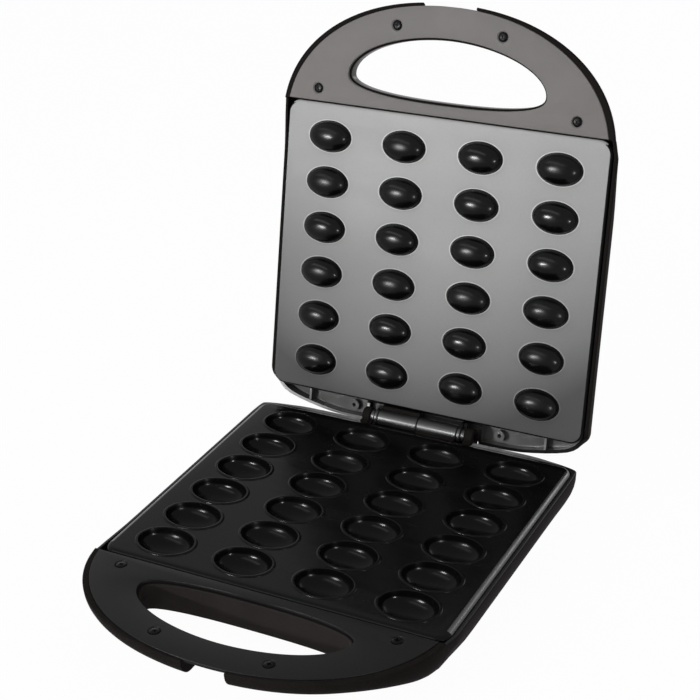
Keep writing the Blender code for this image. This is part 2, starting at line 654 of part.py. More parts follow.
def make_housing(name, frame, material, form, reflector_level):
    bottom = BODY_DEPTH + OVERRUN
    seat = SKIRT_LEVEL + CLEAR
    cover_seat = COVER_LEVEL + COVER_THICK + CLEAR
    post_top = reflector_level + REFLECTOR_THICK + CLEAR
    posts = list(plate_boss_places())
    screws = list(cover_screw_places(form))
    recess_side = HINGE_RECESS_HALF + RECESS_WALL
    recess_front = HINGE_RECESS_FRONT + RECESS_WALL
    recess_block = box_builder(
        (-recess_side, recess_side),
        (form["edge"] - OVERRUN, recess_front),
        (-2 * OVERRUN, HINGE_RECESS_DEPTH + RECESS_WALL),
    )
    rear_wall = box_builder(
        (-BODY_HALF_WIDTH, BODY_HALF_WIDTH),
        (PLATE_REAR - CLEAR - WALL / 2, PLATE_REAR - CLEAR + WALL / 2),
        (seat, bottom),
    )
    front_ledge = box_builder(
        (-BODY_HALF_WIDTH, BODY_HALF_WIDTH),
        (PLATE_FRONT - SKIRT_WIDTH, BODY_END + OVERRUN),
        (seat, seat + LEDGE_THICK),
    )
    rear_ribs = []
    rear_bosses = []
    for side in (-1, 1):
        x = side * RIB_PLACE
        span = (form["edge"], PLATE_REAR)
        rear_ribs.append(box_builder((x - RIB_THICK / 2, x + RIB_THICK / 2), span, (seat, bottom)))
        place = (side * COLUMN_PITCH, REAR_BOSS_PLACE)
        rear_bosses.append(round_builder(place, SCREW_BOSS_RADIUS, seat + LEDGE_THICK, bottom))

    bm = bmesh.new()
    loft(bm, outer_rings(form), cap="strip")
    housing = add_object(name, bm, frame, material)

    body_cavity = cutter_of(name + "_body_cavity", frame, body_cavity_rings(form))
    shape(body_cavity, name + "_kept_recess", frame, [recess_block])
    shape(body_cavity, name + "_kept_walls", frame, [rear_wall, front_ledge])
    if form["ribs"]:
        shape(body_cavity, name + "_kept_ribs", frame, rear_ribs + rear_bosses)
    shape(
        body_cavity,
        name + "_kept_posts",
        frame,
        [round_builder(place, POST_RADIUS, post_top, bottom) for place in posts],
    )
    apply_tool(housing, body_cavity, "DIFFERENCE")

    handle_cavity = cutter_of(name + "_handle_cavity", frame, handle_cavity_rings(form))
    notch_start, notch_end = form["notch"]
    latch_block = box_builder(
        (notch_start - NOTCH_CHEEK, notch_end + NOTCH_CHEEK),
        (WINDOW_CENTRE + WINDOW_FRONT_REACH - WINDOW_STEP, HANDLE_CENTRE + HANDLE_REACH + OVERRUN),
        (cover_seat, bottom),
    )
    shape(
        handle_cavity,
        name + "_kept_window",
        frame,
        [lambda bm: window_prism(bm, form, WINDOW_WALL - WINDOW_STEP, cover_seat, bottom)],
    )
    shape(handle_cavity, name + "_kept_latch_block", frame, [latch_block])
    shape(
        handle_cavity,
        name + "_kept_bosses",
        frame,
        [round_builder(place, SCREW_BOSS_RADIUS, cover_seat, bottom) for place in screws],
    )
    apply_tool(housing, handle_cavity, "DIFFERENCE")

    plate_seat = cutter_of(name + "_plate_seat", frame, body_seat_rings(form))
    shape(plate_seat, name + "_kept_rim", frame, [recess_block])
    apply_tool(housing, plate_seat, "DIFFERENCE")
    shape(
        housing,
        name + "_cover_seat",
        frame,
        [lambda bm: prism(bm, cover_outline(form, CLEAR), -OVERRUN, cover_seat)],
    )
    recess = box_builder(
        (-HINGE_RECESS_HALF, HINGE_RECESS_HALF),
        (form["edge"] - OVERRUN, HINGE_RECESS_FRONT),
        (-OVERRUN, HINGE_RECESS_DEPTH),
    )
    shape(housing, name + "_recess", frame, [recess])

    barrels = []
    arms = []
    for start, end in knuckles():
        profile = [(KNUCKLE_RADIUS, start), (KNUCKLE_RADIUS, end)]
        barrels.append(lambda bm, p=profile: turned(bm, p, (0.0, 0.0, 0.0), along="x"))
        front = HINGE_RECESS_FRONT + RECESS_WALL / 2
        arms.append(box_builder((start, end), (0.0, front), (KNUCKLE_ARM_TOP, KNUCKLE_ARM_DEPTH)))
    shape(housing, name + "_arms", frame, arms, "UNION")
    shape(housing, name + "_knuckles", frame, barrels, "UNION")

    window = [lambda bm: window_prism(bm, form, -WINDOW_STEP, -OVERRUN, bottom)]
    notch = box_builder(
        form["notch"],
        (NOTCH_BACK, HANDLE_CENTRE + HANDLE_REACH + OVERRUN),
        (-OVERRUN, bottom),
    )
    bore = [(PIN_RADIUS + CLEAR, -HINGE_RECESS_HALF), (PIN_RADIUS + CLEAR, HINGE_RECESS_HALF)]
    shape(housing, name + "_openings", frame, window + [notch])
    shape(
        housing,
        name + "_pin_bore",
        frame,
        [lambda bm: turned(bm, bore, (0.0, 0.0, 0.0), along="x", sides=SHAPE_SIDES)],
    )
    depth = COVER_LEVEL + SCREW_SINK + SCREW_LENGTH + CLEAR
    wells = [round_builder(p, SCREW_SHANK_RADIUS + CLEAR, 0.0, depth, SCREW_SIDES) for p in screws]
    wells += [round_builder(p, POST_BORE, post_top - OVERRUN, bottom) for p in posts]
    if form["lamps"]:
        for side in (-1, 1):
            place = (side * LAMP_HALF_SPACING, LAMP_PLACE)
            wells.append(round_builder(place, LAMP_RADIUS + CLEAR, BODY_DEPTH - OVERRUN, bottom))
    shape(housing, name + "_wells", frame, wells)
    if form["lamps"]:
        radius = LATCH_PIN_RADIUS + CLEAR
        place = (0.0, LATCH_PIVOT_D, LATCH_PIVOT_H)
        reach = NOTCH_CHEEK / 2
        profile = [(radius, notch_start - reach), (radius, notch_end + reach)]
        shape(
            housing,
            name + "_latch_bore",
            frame,
            [lambda bm: turned(bm, profile, place, along="x", sides=SCREW_SIDES)],
        )
    else:
        pad = box_builder(
            (INLET_PLACE - INLET_PAD, INLET_PLACE + INLET_PAD),
            (INLET_WALL, INLET_WALL + WALL * 2),
            (INLET_LEVEL - INLET_PAD, INLET_LEVEL + INLET_PAD),
        )
        shape(housing, name + "_inlet_pad", frame, [pad], "UNION")
        radius = INLET_RADIUS + CLEAR
        profile = [(radius, -OVERRUN), (radius, INLET_WALL + INLET_LENGTH + CLEAR)]
        place = (INLET_PLACE, 0.0, INLET_LEVEL)
        shape(
            housing,
            name + "_inlet_bore",
            frame,
            [lambda bm: turned(bm, profile, place, along="d", sides=SHAPE_SIDES)],
        )
    return housing


# Baking plates


def plate_rings():
    corner = (PLATE_HALF_WIDTH, PLATE_REAR, PLATE_FRONT, PLATE_CORNER)
    levels = (
        (PLATE_BEVEL, PLATE_LEVEL),
        (PLATE_BEVEL * PLATE_BEVEL_SHARE, PLATE_LEVEL + PLATE_BEVEL * PLATE_BEVEL_SHARE),
        (0.0, PLATE_LEVEL + PLATE_BEVEL),
        (0.0, SKIRT_LEVEL),
        (SKIRT_WIDTH, SKIRT_LEVEL),
        (SKIRT_WIDTH, PLATE_LEVEL + PLATE_THICK),
    )
    return [rounded_rectangle(*corner, inset, h) for inset, h in levels]


def make_plate(name, frame, material, hollow, boss_end):
    bm = bmesh.new()
    loft(bm, plate_rings())
    plate = add_object(name, bm, frame, material)
    under = PLATE_LEVEL + PLATE_THICK
    forms = bmesh.new()
    voids = bmesh.new()
    for place in pattern():
        if hollow:
            size = (CAVITY_LENGTH + 2 * CUP_WALL, CAVITY_WIDTH + 2 * CUP_WALL)
            reach = CAVITY_DEPTH + CUP_WALL - PLATE_THICK + CLEAR
            bowl(forms, place, *size, under - CLEAR, reach, BACK_SHARES, BACK_SIDES)
            bowl(voids, place, CAVITY_LENGTH, CAVITY_WIDTH, PLATE_LEVEL, CAVITY_DEPTH, BOWL_SHARES)
        else:
            top = PLATE_LEVEL + CLEAR
            bowl(forms, place, DOME_LENGTH, DOME_WIDTH, top, -DOME_HEIGHT - CLEAR, BOWL_SHARES)
            size = (DOME_LENGTH - 2 * DOME_WALL, DOME_WIDTH - 2 * DOME_WALL)
            reach = DOME_WALL - DOME_HEIGHT - PLATE_THICK
            bowl(voids, place, *size, under, reach, BACK_SHARES, BACK_SIDES)
    for x, d in plate_boss_places():
        turned(
            forms,
            [(PLATE_BOSS_RADIUS, under - PLATE_THICK / 2), (PLATE_BOSS_RADIUS, boss_end)],
            (x, d, 0.0),
            sides=SCREW_SIDES,
        )
        turned(
            voids,
            [(SCREW_SHANK_RADIUS + CLEAR, under), (SCREW_SHANK_RADIUS + CLEAR, boss_end + OVERRUN)],
            (x, d, 0.0),
            sides=SCREW_SIDES,
        )
    apply_tool(plate, add_cutter(name + "_forms", forms, frame), "UNION")
    apply_tool(plate, add_cutter(name + "_voids", voids, frame), "DIFFERENCE")
    return plate


# Handle covers and screws


def make_cover(name, frame, material, form):
    bm = bmesh.new()
    prism(bm, cover_outline(form, 0.0), COVER_LEVEL, COVER_LEVEL + COVER_THICK)
    cover = add_object(name, bm, frame, material)
    bm = bmesh.new()
    window_prism(bm, form, 0.0, COVER_LEVEL - OVERRUN, COVER_LEVEL + COVER_THICK + OVERRUN)
    apply_tool(cover, add_cutter(name + "_window", bm, frame), "DIFFERENCE")
    bm = bmesh.new()
    reach = SCREW_HEAD_HEIGHT + SCREW_SINK
    for place in cover_screw_places(form):
        top = SCREW_HEAD_RADIUS + 2 * CLEAR
        neck = SCREW_SHANK_RADIUS + 2 * CLEAR
        profile = [(top, -OVERRUN), (top, CLEAR), (neck, reach), (neck, COVER_THICK + OVERRUN)]
        turned(bm, profile, (*place, COVER_LEVEL), sides=SHAPE_SIDES)
    apply_tool(cover, add_cutter(name + "_screw_holes", bm, frame), "DIFFERENCE")
    return cover


def make_cover_screw(name, frame, material, place):
    profile = [
        (SCREW_HEAD_RADIUS, 0.0),
        (SCREW_HEAD_RADIUS, CLEAR),
        (SCREW_SHANK_RADIUS, SCREW_HEAD_HEIGHT),
        (SCREW_SHANK_RADIUS, SCREW_LENGTH),
    ]
    level = COVER_LEVEL + SCREW_SINK
    bm = bmesh.new()
    turned(bm, profile, (*place, level), sides=SHAPE_SIDES)
    screw = add_object(name, bm, frame, material)
    for i, (length, width) in enumerate(((CROSS_LENGTH, CROSS_WIDTH), (CROSS_WIDTH, CROSS_LENGTH))):
        bm = bmesh.new()
        x, d = place
        box(
            bm,
            (x - length / 2, x + length / 2),
            (d - width / 2, d + width / 2),
            (level - OVERRUN, level + CROSS_DEPTH),
        )
        apply_tool(screw, add_cutter(f"{name}_slot_{i}", bm, frame), "DIFFERENCE")
    return screw


def make_plate_screw(name, frame, material, place, level):
    head = PLATE_SCREW_HEAD_RADIUS
    shank = SCREW_SHANK_RADIUS
    profile = [(head, PLATE_SCREW_HEAD_HEIGHT), (head, 0.0), (shank, 0.0), (shank, -PLATE_SCREW_LENGTH)]
    bm = bmesh.new()
    turned(bm, profile, (*place, level), sides=SCREW_SIDES)
    return add_object(name, bm, frame, material)


# Heating parts


def element_route():
    half = COLUMN_PITCH / 2
    outer = half + COLUMN_PITCH
    corners = [(ELEMENT_TAIL, ELEMENT_REAR), (outer, ELEMENT_REAR), (outer, ELEMENT_FRONT)]
    corners += [(half, ELEMENT_FRONT), (half, ELEMENT_RETURN)]
    return corners + [(-x, d) for x, d in reversed(corners)]


def rounded_route(corners, radius, steps):
    points = [np.array(corners[0])]
    for before, corner, after in zip(corners, corners[1:], corners[2:]):
        corner = np.array(corner)
        start = (np.array(before) - corner) / np.linalg.norm(np.array(before) - corner)
        end = (np.array(after) - corner) / np.linalg.norm(np.array(after) - corner)
        for i in range(steps + 1):
            a = math.pi / 2 * i / steps
            points.append(corner + radius * ((1 - math.sin(a)) * start + (1 - math.cos(a)) * end))
    points.append(np.array(corners[-1]))
    return points


def make_element(name, frame, material, level):
    curve = bpy.data.curves.new(name, "CURVE")
    curve.dimensions = "3D"
    curve.bevel_depth = ELEMENT_RADIUS
    curve.bevel_resolution = 1
    curve.use_fill_caps = True
    route = rounded_route(element_route(), ELEMENT_BEND, ELEMENT_STEPS)
    spline = curve.splines.new("POLY")
    spline.points.add(len(route) - 1)
    for point, (x, d) in zip(spline.points, route):
        point.co = (*at(x, d, level), 1.0)
    curve.materials.append(material)
    element = bpy.data.objects.new(name, curve)
    bpy.context.scene.collection.objects.link(element)
    element.parent = frame
    return element


def make_reflector(name, frame, material, level):
    size = (REFLECTOR_HALF_WIDTH, REFLECTOR_REAR, REFLECTOR_FRONT, REFLECTOR_CORNER)
    thick = REFLECTOR_THICK
    levels = (
        (0.0, level + thick),
        (0.0, level - REFLECTOR_RIM),
        (thick, level - REFLECTOR_RIM),
        (thick, level),
    )
    bm = bmesh.new()
    loft(bm, [rounded_rectangle(*size, inset, h, steps=3) for inset, h in levels])
    reflector = add_object(name, bm, frame, material, smooth=False)
    bm = bmesh.new()
    radius = SCREW_SHANK_RADIUS + 2 * CLEAR
    for place in plate_boss_places():
        turned(bm, [(radius, -OVERRUN), (radius, OVERRUN)], (*place, level), sides=SCREW_SIDES)
    apply_tool(reflector, add_cutter(name + "_holes", bm, frame), "DIFFERENCE")
    return reflector


def make_base_parts(frame, steel, rubber, cream, black):
    under = PLATE_LEVEL + PLATE_THICK + CLEAR
    bm = bmesh.new()
    profile = [(THERMOSTAT_RADIUS, 0.0), (THERMOSTAT_RADIUS, THERMOSTAT_STEP)]
    profile += [(THERMOSTAT_CAP_RADIUS, THERMOSTAT_STEP), (THERMOSTAT_CAP_RADIUS, THERMOSTAT_HEIGHT)]
    turned(bm, profile, (0.0, THERMOSTAT_PLACE, under))
    add_object("thermostat", bm, frame, steel)

    bm = bmesh.new()
    ends = [(FUSE_RADIUS, -FUSE_LENGTH / 2), (FUSE_RADIUS, FUSE_LENGTH / 2)]
    turned(bm, ends, (0.0, FUSE_PLACE, under + FUSE_RADIUS), along="x", sides=SHAPE_SIDES)
    add_object("thermal_fuse", bm, frame, steel)

    floor = BODY_DEPTH - WALL - CLEAR
    bm = bmesh.new()
    box(
        bm,
        (TERMINAL_X - TERMINAL_LENGTH / 2, TERMINAL_X + TERMINAL_LENGTH / 2),
        (TERMINAL_D - TERMINAL_WIDTH / 2, TERMINAL_D + TERMINAL_WIDTH / 2),
        (floor - TERMINAL_HEIGHT, floor),
    )
    add_object("terminal_block", bm, frame, cream, smooth=False)

    bm = bmesh.new()
    outer = INLET_RADIUS
    profile = [
        (INLET_BORE, -INLET_FLANGE_THICK),
        (INLET_FLANGE, -INLET_FLANGE_THICK),
        (INLET_FLANGE, 0.0),
        (outer, 0.0),
        (outer, INLET_LENGTH),
        (INLET_BORE, INLET_LENGTH),
    ]
    turned(bm, profile, (INLET_PLACE, INLET_WALL - CLEAR, INLET_LEVEL), along="d", loop=True)
    add_object("cord_inlet", bm, frame, rubber)

    for i, d in enumerate(FOOT_ROWS):
        for side, word in ((-1, "left"), (1, "right")):
            name = f"{('rear', 'front')[i]}_{word}_foot"
            bm = bmesh.new()
            top = BODY_DEPTH + CLEAR
            profile = [(FOOT_RADIUS, top), (FOOT_RADIUS, top + FOOT_HEIGHT / 2)]
            profile += [(FOOT_TOE_RADIUS, top + FOOT_HEIGHT)]
            turned(bm, profile, (side * FOOT_HALF_TRACK, d, 0.0))
            add_object(name, bm, frame, rubber)

    bm = bmesh.new()
    end = LONG_KNUCKLE + SHORT_KNUCKLE + PIN_OVERHANG
    turned(bm, [(PIN_RADIUS, -end), (PIN_RADIUS, end)], (0.0, 0.0, 0.0), along="x")
    add_object("hinge_pin", bm, frame, steel)


def make_lid_parts(frame, form, steel, red, green, cream):
    level = BODY_DEPTH + CLEAR
    for side, word, colour in ((-1, "power", red), (1, "ready", green)):
        profile = [
            (LAMP_RADIUS, -LAMP_DEPTH),
            (LAMP_RADIUS, 0.0),
            (LAMP_FLANGE, 0.0),
            LAMP_SHOULDER,
            (LAMP_CROWN_RADIUS, LAMP_PROUD),
        ]
        bm = bmesh.new()
        turned(bm, profile, (side * LAMP_HALF_SPACING, LAMP_PLACE, level))
        add_object(f"{word}_lamp_lens", bm, frame, colour)
    length, width, thick = LAMP_BOARD
    end = level - LAMP_DEPTH - CLEAR
    bm = bmesh.new()
    side = length / 2
    box(bm, (-side, side), (LAMP_PLACE - width / 2, LAMP_PLACE + width / 2), (end - thick, end))
    add_object("lamp_board", bm, frame, cream, smooth=False)
    bm = bmesh.new()
    start, end = form["notch"]
    reach = NOTCH_CHEEK / 2 - CLEAR
    turned(
        bm,
        [(LATCH_PIN_RADIUS, start - reach), (LATCH_PIN_RADIUS, end + reach)],
        (0.0, LATCH_PIVOT_D, LATCH_PIVOT_H),
        along="x",
        sides=SHAPE_SIDES,
    )
    add_object("latch_pin", bm, frame, steel)


def make_latch(frame, material):
    """The clip in its shut pose, with its origin on its own pin: a C that reaches round the rims."""
    side = LATCH_HALF_WIDTH
    thick = LATCH_THICK
    barrel = LATCH_BARREL
    bm = bmesh.new()
    turned(bm, [(barrel, -side), (barrel, side)], (0.0, 0.0, 0.0), along="x", sides=SHAPE_SIDES)
    clip = add_object("latch_clip", bm, frame, material)
    bore = LATCH_PIN_RADIUS + CLEAR
    runs = (
        ((barrel / 2, LATCH_REACH), (-thick / 2, thick / 2)),
        ((LATCH_REACH - thick, LATCH_REACH), (-LATCH_DROP, thick / 2)),
        ((LATCH_REACH - LATCH_HOOK, LATCH_REACH), (-LATCH_DROP, thick - LATCH_DROP)),
    )
    for i, (along, up) in enumerate(runs):
        bm = bmesh.new()
        box(bm, (-side, side), along, up)
        apply_tool(clip, add_cutter(f"latch_run_{i}", bm, frame), "UNION")
    bm = bmesh.new()
    turned(bm, [(bore, -2 * side), (bore, 2 * side)], (0.0, 0.0, 0.0), along="x", sides=SHAPE_SIDES)
    apply_tool(clip, add_cutter("latch_bore", bm, frame), "DIFFERENCE")
    return clip


def make_half(word, frame, looks, form, hollow):
    reflector_level = LOWER_REFLECTOR_LEVEL if hollow else UPPER_REFLECTOR_LEVEL
    make_housing(f"{word}_housing", frame, looks["shell"], form, reflector_level)
    make_plate(f"{word}_plate", frame, looks["plate"], hollow, reflector_level - CLEAR)
    make_cover(f"{word}_handle_cover", frame, looks["cover"], form)
    for i, place in enumerate(cover_screw_places(form)):
        make_cover_screw(f"{word}_cover_screw_{i + 1}", frame, looks["screw"], place)
    for i, place in enumerate(plate_boss_places()):
        level = reflector_level + REFLECTOR_THICK + CLEAR
        make_plate_screw(f"{word}_plate_screw_{i + 1}", frame, looks["steel"], place, level)
    top = CUP_END if hollow else PLATE_LEVEL + PLATE_THICK
    make_element(f"{word}_heating_element", frame, looks["sheath"], top + CLEAR + ELEMENT_RADIUS)
    make_reflector(f"{word}_reflector", frame, looks["sheet"], reflector_level)


def centre_on_origin(root):
    """Moves the whole object so that it stands on z = 0 with its box centred on the origin."""
    bpy.context.view_layer.update()
    depsgraph = bpy.context.evaluated_depsgraph_get()
    corners = []
    for item in bpy.context.scene.objects:
        if item.type in {"MESH", "CURVE"} and not item.hide_render:
            shape = item.evaluated_get(depsgraph)
            mesh = shape.to_mesh()
            corners += [shape.matrix_world @ v.co for v in mesh.vertices]
            shape.to_mesh_clear()
    low = np.min([tuple(c) for c in corners], axis=0)
    high = np.max([tuple(c) for c in corners], axis=0)
    root.location = (-(low[0] + high[0]) / 2, -(low[1] + high[1]) / 2, -low[2])
    bpy.context.view_layer.update()


def main():
    clear_scene()
    lower_form = {
        "shift": -HANDLE_SHIFT,
        "slope": LOWER_SLOPE,
        "notch": LOWER_NOTCH,
        "edge": LOWER_REAR,
        "corner": LOWER_CORNER,
        "wall": LOWER_REAR_WALL,
        "rim": BODY_RIM,
        "ribs": False,
        "lamps": False,
        "x_shares": LOWER_X_SHARES,
        "d_shares": LOWER_D_SHARES,
    }
    upper_form = {
        "shift": HANDLE_SHIFT,
        "slope": UPPER_SLOPE,
        "notch": UPPER_NOTCH,
        "edge": UPPER_REAR,
        "corner": UPPER_CORNER,
        "wall": UPPER_REAR_WALL,
        "rim": UPPER_REAR_RIM,
        "ribs": True,
        "lamps": True,
        "x_shares": UPPER_X_SHARES,
        "d_shares": UPPER_D_SHARES,
    }
    steel = make_material("steel", (0.55, 0.55, 0.56), 0.35, 1.0)
    rubber = make_material("rubber", (0.02, 0.02, 0.02), 0.8)
    cream = make_material("insulator", (0.78, 0.74, 0.64), 0.5)
    red = make_material("red_lens", (0.6, 0.03, 0.02), 0.2)
    green = make_material("green_lens", (0.03, 0.4, 0.06), 0.2)
    shell = make_material("black_shell", (0.022, 0.020, 0.020), 0.35)
    inner = {
        "shell": shell,
        "screw": make_material("black_screw", (0.02, 0.02, 0.02), 0.4, 0.6),
        "steel": steel,
        "sheath": make_material("element_sheath", (0.45, 0.45, 0.46), 0.5, 1.0),
        "sheet": make_material("reflector_sheet", (0.8, 0.8, 0.8), 0.25, 1.0),
    }
    lower = inner | {
        "plate": make_material("lower_coating", (0.018, 0.018, 0.020), 0.3),
        "cover": make_material("lower_cover", (0.022, 0.022, 0.023), 0.4),
    }
    upper = inner | {
        "plate": make_material("upper_coating", (0.20, 0.20, 0.20), 0.35),
        "cover": make_material("upper_cover", (0.21, 0.20, 0.20), 0.45),
    }
    root = make_frame("machine_frame")
    lid_pivot = make_frame("lid_pivot", root, turn=(-OPEN_ANGLE, 0, 0))
    lid_frame = make_frame("lid_frame", lid_pivot, turn=(0, math.pi, 0))
    latch_frame = make_frame(
        "latch_frame",
        lid_frame,
        location=at(LATCH_PLACE, LATCH_PIVOT_D, LATCH_PIVOT_H),
        turn=(LATCH_SWING, 0, 0),
    )
    make_half("lower", root, lower, lower_form, hollow=True)
    make_half("upper", lid_frame, upper, upper_form, hollow=False)
    make_base_parts(root, steel, rubber, cream, shell)
    make_lid_parts(lid_frame, upper_form, steel, red, green, cream)
    make_latch(latch_frame, shell)
    centre_on_origin(root)


main()
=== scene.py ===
import math

import bmesh
import bpy
from mathutils import Matrix, Vector


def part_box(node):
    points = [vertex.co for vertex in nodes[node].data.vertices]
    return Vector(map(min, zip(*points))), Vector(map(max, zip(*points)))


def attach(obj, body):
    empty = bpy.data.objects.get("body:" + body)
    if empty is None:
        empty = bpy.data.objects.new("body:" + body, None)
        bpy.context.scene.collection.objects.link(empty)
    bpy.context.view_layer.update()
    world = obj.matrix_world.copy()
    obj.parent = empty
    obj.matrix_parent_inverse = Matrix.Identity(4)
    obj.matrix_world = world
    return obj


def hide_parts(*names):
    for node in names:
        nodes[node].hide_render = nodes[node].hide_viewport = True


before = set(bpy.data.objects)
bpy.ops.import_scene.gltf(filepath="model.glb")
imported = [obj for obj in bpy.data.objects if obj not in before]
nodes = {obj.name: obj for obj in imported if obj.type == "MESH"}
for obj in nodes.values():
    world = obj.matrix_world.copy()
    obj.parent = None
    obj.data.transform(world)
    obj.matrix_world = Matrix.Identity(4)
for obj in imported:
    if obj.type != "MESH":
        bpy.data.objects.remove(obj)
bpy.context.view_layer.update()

# Each half has its own half frame: x along the hinge, y backwards from the handle, z out of the plate.
# Its origin is on the hinge axis and z = 0 is where the halves meet.
openAngle = 104.0
pinLow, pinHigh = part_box("hinge_pin")
hinge = (pinLow + pinHigh) / 2
toLower = Matrix.Translation(hinge)
toUpper = toLower @ Matrix.Rotation(math.radians(-openAngle), 4, "X") @ Matrix.Rotation(math.pi, 4, "Y")
places = {"lower": toLower, "upper": toUpper}
bodies = {"lower": "base", "upper": "lid"}


# Small helpers for shapes


def blend(first, second, t):
    return first + (second - first) * t


def ease(value, start, end):
    t = min(max((value - start) / (end - start), 0.0), 1.0)
    return t * t * (3.0 - 2.0 * t)


# Points along a smooth curve through the given ones
def curveThrough(points, each):
    ends = [points[0], *points, points[-1]]
    made = []
    for i in range(len(points) - 1):
        a, b, c, d = (Vector(p) for p in ends[i : i + 4])
        square = 2 * a - 5 * b + 4 * c - d
        cube = 3 * b - a - 3 * c + d
        for step in range(each):
            t = step / each
            made.append(0.5 * (2 * b + (c - a) * t + square * t**2 + cube * t**3))
    return made + [Vector(points[-1])]


# A circle whose points are moved onto the given ones
def addLoop(bm, points):
    verts = bmesh.ops.create_circle(bm, segments=len(points), radius=1.0)["verts"]
    for vert, point in zip(verts, points):
        vert.co = point
    return verts


# The edges between following points, and from the last to the first where they close
def edgesOf(verts, closed=True):
    pairs = list(zip(verts, verts[1:]))
    if closed:
        pairs.append((verts[-1], verts[0]))
    return [next(e for e in a.link_edges if e.other_vert(a) == b) for a, b in pairs]


# Closes a loop that is mirrored about its middle with strips from side to side
def capLoop(bm, verts):
    half = len(verts) // 2
    right, left = (edgesOf(side, closed=False) for side in (verts[:half], verts[half:]))
    bmesh.ops.bridge_loops(bm, edges=right + left)


def solidLoops(bm, rings):
    loops = [addLoop(bm, ring) for ring in rings]
    for lower, upper in zip(loops, loops[1:]):
        bmesh.ops.bridge_loops(bm, edges=edgesOf(lower) + edgesOf(upper))
    capLoop(bm, loops[0])
    capLoop(bm, loops[-1])


def tidySolid(bm, gap=1e-6):
    bmesh.ops.remove_doubles(bm, verts=bm.verts, dist=gap)
    bmesh.ops.recalc_face_normals(bm, faces=bm.faces)


# A profile of (radius, height) points turned about the z axis
def turnedMesh(points, steps, gap=1e-6):
    bm = bmesh.new()
    verts = [bm.verts.new((radius, 0.0, height)) for radius, height in points]
    edges = [bm.edges.new(pair) for pair in zip(verts, verts[1:])]
    turn = {"cent": (0, 0, 0), "axis": (0, 0, 1), "angle": 2 * math.pi, "steps": steps}
    bmesh.ops.spin(bm, geom=verts + edges, use_merge=True, **turn)
    tidySolid(bm, gap)
    return bm


def shiftMesh(bm, move):
    bmesh.ops.translate(bm, vec=move, verts=bm.verts)


# Extrudes faces and moves the new ones up
def raiseFaces(bm, faces, height):
    made = bmesh.ops.extrude_face_region(bm, geom=faces)
    raised = [g for g in made["geom"] if isinstance(g, bmesh.types.BMVert)]
    bmesh.ops.translate(bm, vec=(0, 0, height), verts=raised)


def roundEdges(bm, edges, size, segments, clamp=False):
    values = {"offset": size, "segments": segments, "profile": 0.5, "material": -1, "clamp_overlap": clamp}
    bmesh.ops.bevel(bm, geom=edges, affect="EDGES", **values)


def linked(name, data):
    item = bpy.data.objects.new(name, data)
    bpy.context.scene.collection.objects.link(item)
    return item


def meshObject(name, bm, place=None):
    if place is not None:
        bmesh.ops.transform(bm, matrix=place, verts=bm.verts)
    mesh = bpy.data.meshes.new(name)
    bm.to_mesh(mesh)
    bm.free()
    return linked(name, mesh)


def addTools(item, operation, tools):
    for tool in tools:
        change = item.modifiers.new(tool.name, "BOOLEAN")
        change.object = tool
        change.operation = operation
        change.solver = "EXACT"


# Makes the item's Booleans part of its mesh, in their order, and removes their tools
def settle(item):
    bpy.context.view_layer.update()
    shaped = bpy.data.meshes.new_from_object(item.evaluated_get(bpy.context.evaluated_depsgraph_get()))
    tools = [change.object for change in item.modifiers]
    item.modifiers.clear()
    item.data = shaped
    for tool in tools:
        bpy.data.objects.remove(tool)


def meshOf(item):
    bm = bmesh.new()
    bm.from_mesh(item.data)
    return bm


# Removes the faces without area that a Boolean leaves
def dropSlivers(item):
    bm = meshOf(item)
    bmesh.ops.remove_doubles(bm, verts=bm.verts, dist=2e-6)
    bmesh.ops.dissolve_degenerate(bm, dist=2e-6, edges=bm.edges)
    bm.to_mesh(item.data)
    bm.free()


# Each rule's finish goes to the faces that pass its test of x, distance in front, level below and rise
def paintFaces(item, place, rules):
    back = place.inverted()
    for look, test in rules:
        item.data.materials.append(looks[look])
    for face in item.data.polygons:
        middle = back @ face.center
        rise = (back.to_3x3() @ face.normal).z
        for number, (look, test) in enumerate(rules):
            if test(middle.x, -middle.y, -middle.z, rise):
                face.material_index = number + 1
                break


def smoothShade(item, degrees=32.0):
    item.data.shade_smooth()
    item.data.set_sharp_from_angle(angle=math.radians(degrees))


def dress(item, look):
    item.data.materials.clear()
    item.data.materials.append(look)


def finishPiece(item, body, slotName, look, *standsFor):
    dress(item, look)
    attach(item, body)
    if standsFor:
        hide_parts(*standsFor)


# Materials


# A socket whose values can be worked with in expressions
class Signal:
    def __init__(self, finish, socket):
        self.finish = finish
        self.socket = socket

    def join(self, operation, first, second):
        return self.finish.node("ShaderNodeMath", {"operation": operation}, {0: first, 1: second})

    def __add__(self, other):
        return self.join("ADD", self, other)

    def __sub__(self, other):
        return self.join("SUBTRACT", self, other)

    def __mul__(self, other):
        return self.join("MULTIPLY", self, other)

    def __pow__(self, other):
        return self.join("POWER", self, other)

    def __radd__(self, other):
        return self.join("ADD", other, self)

    def __rsub__(self, other):
        return self.join("SUBTRACT", other, self)

    def __rmul__(self, other):
        return self.join("MULTIPLY", other, self)


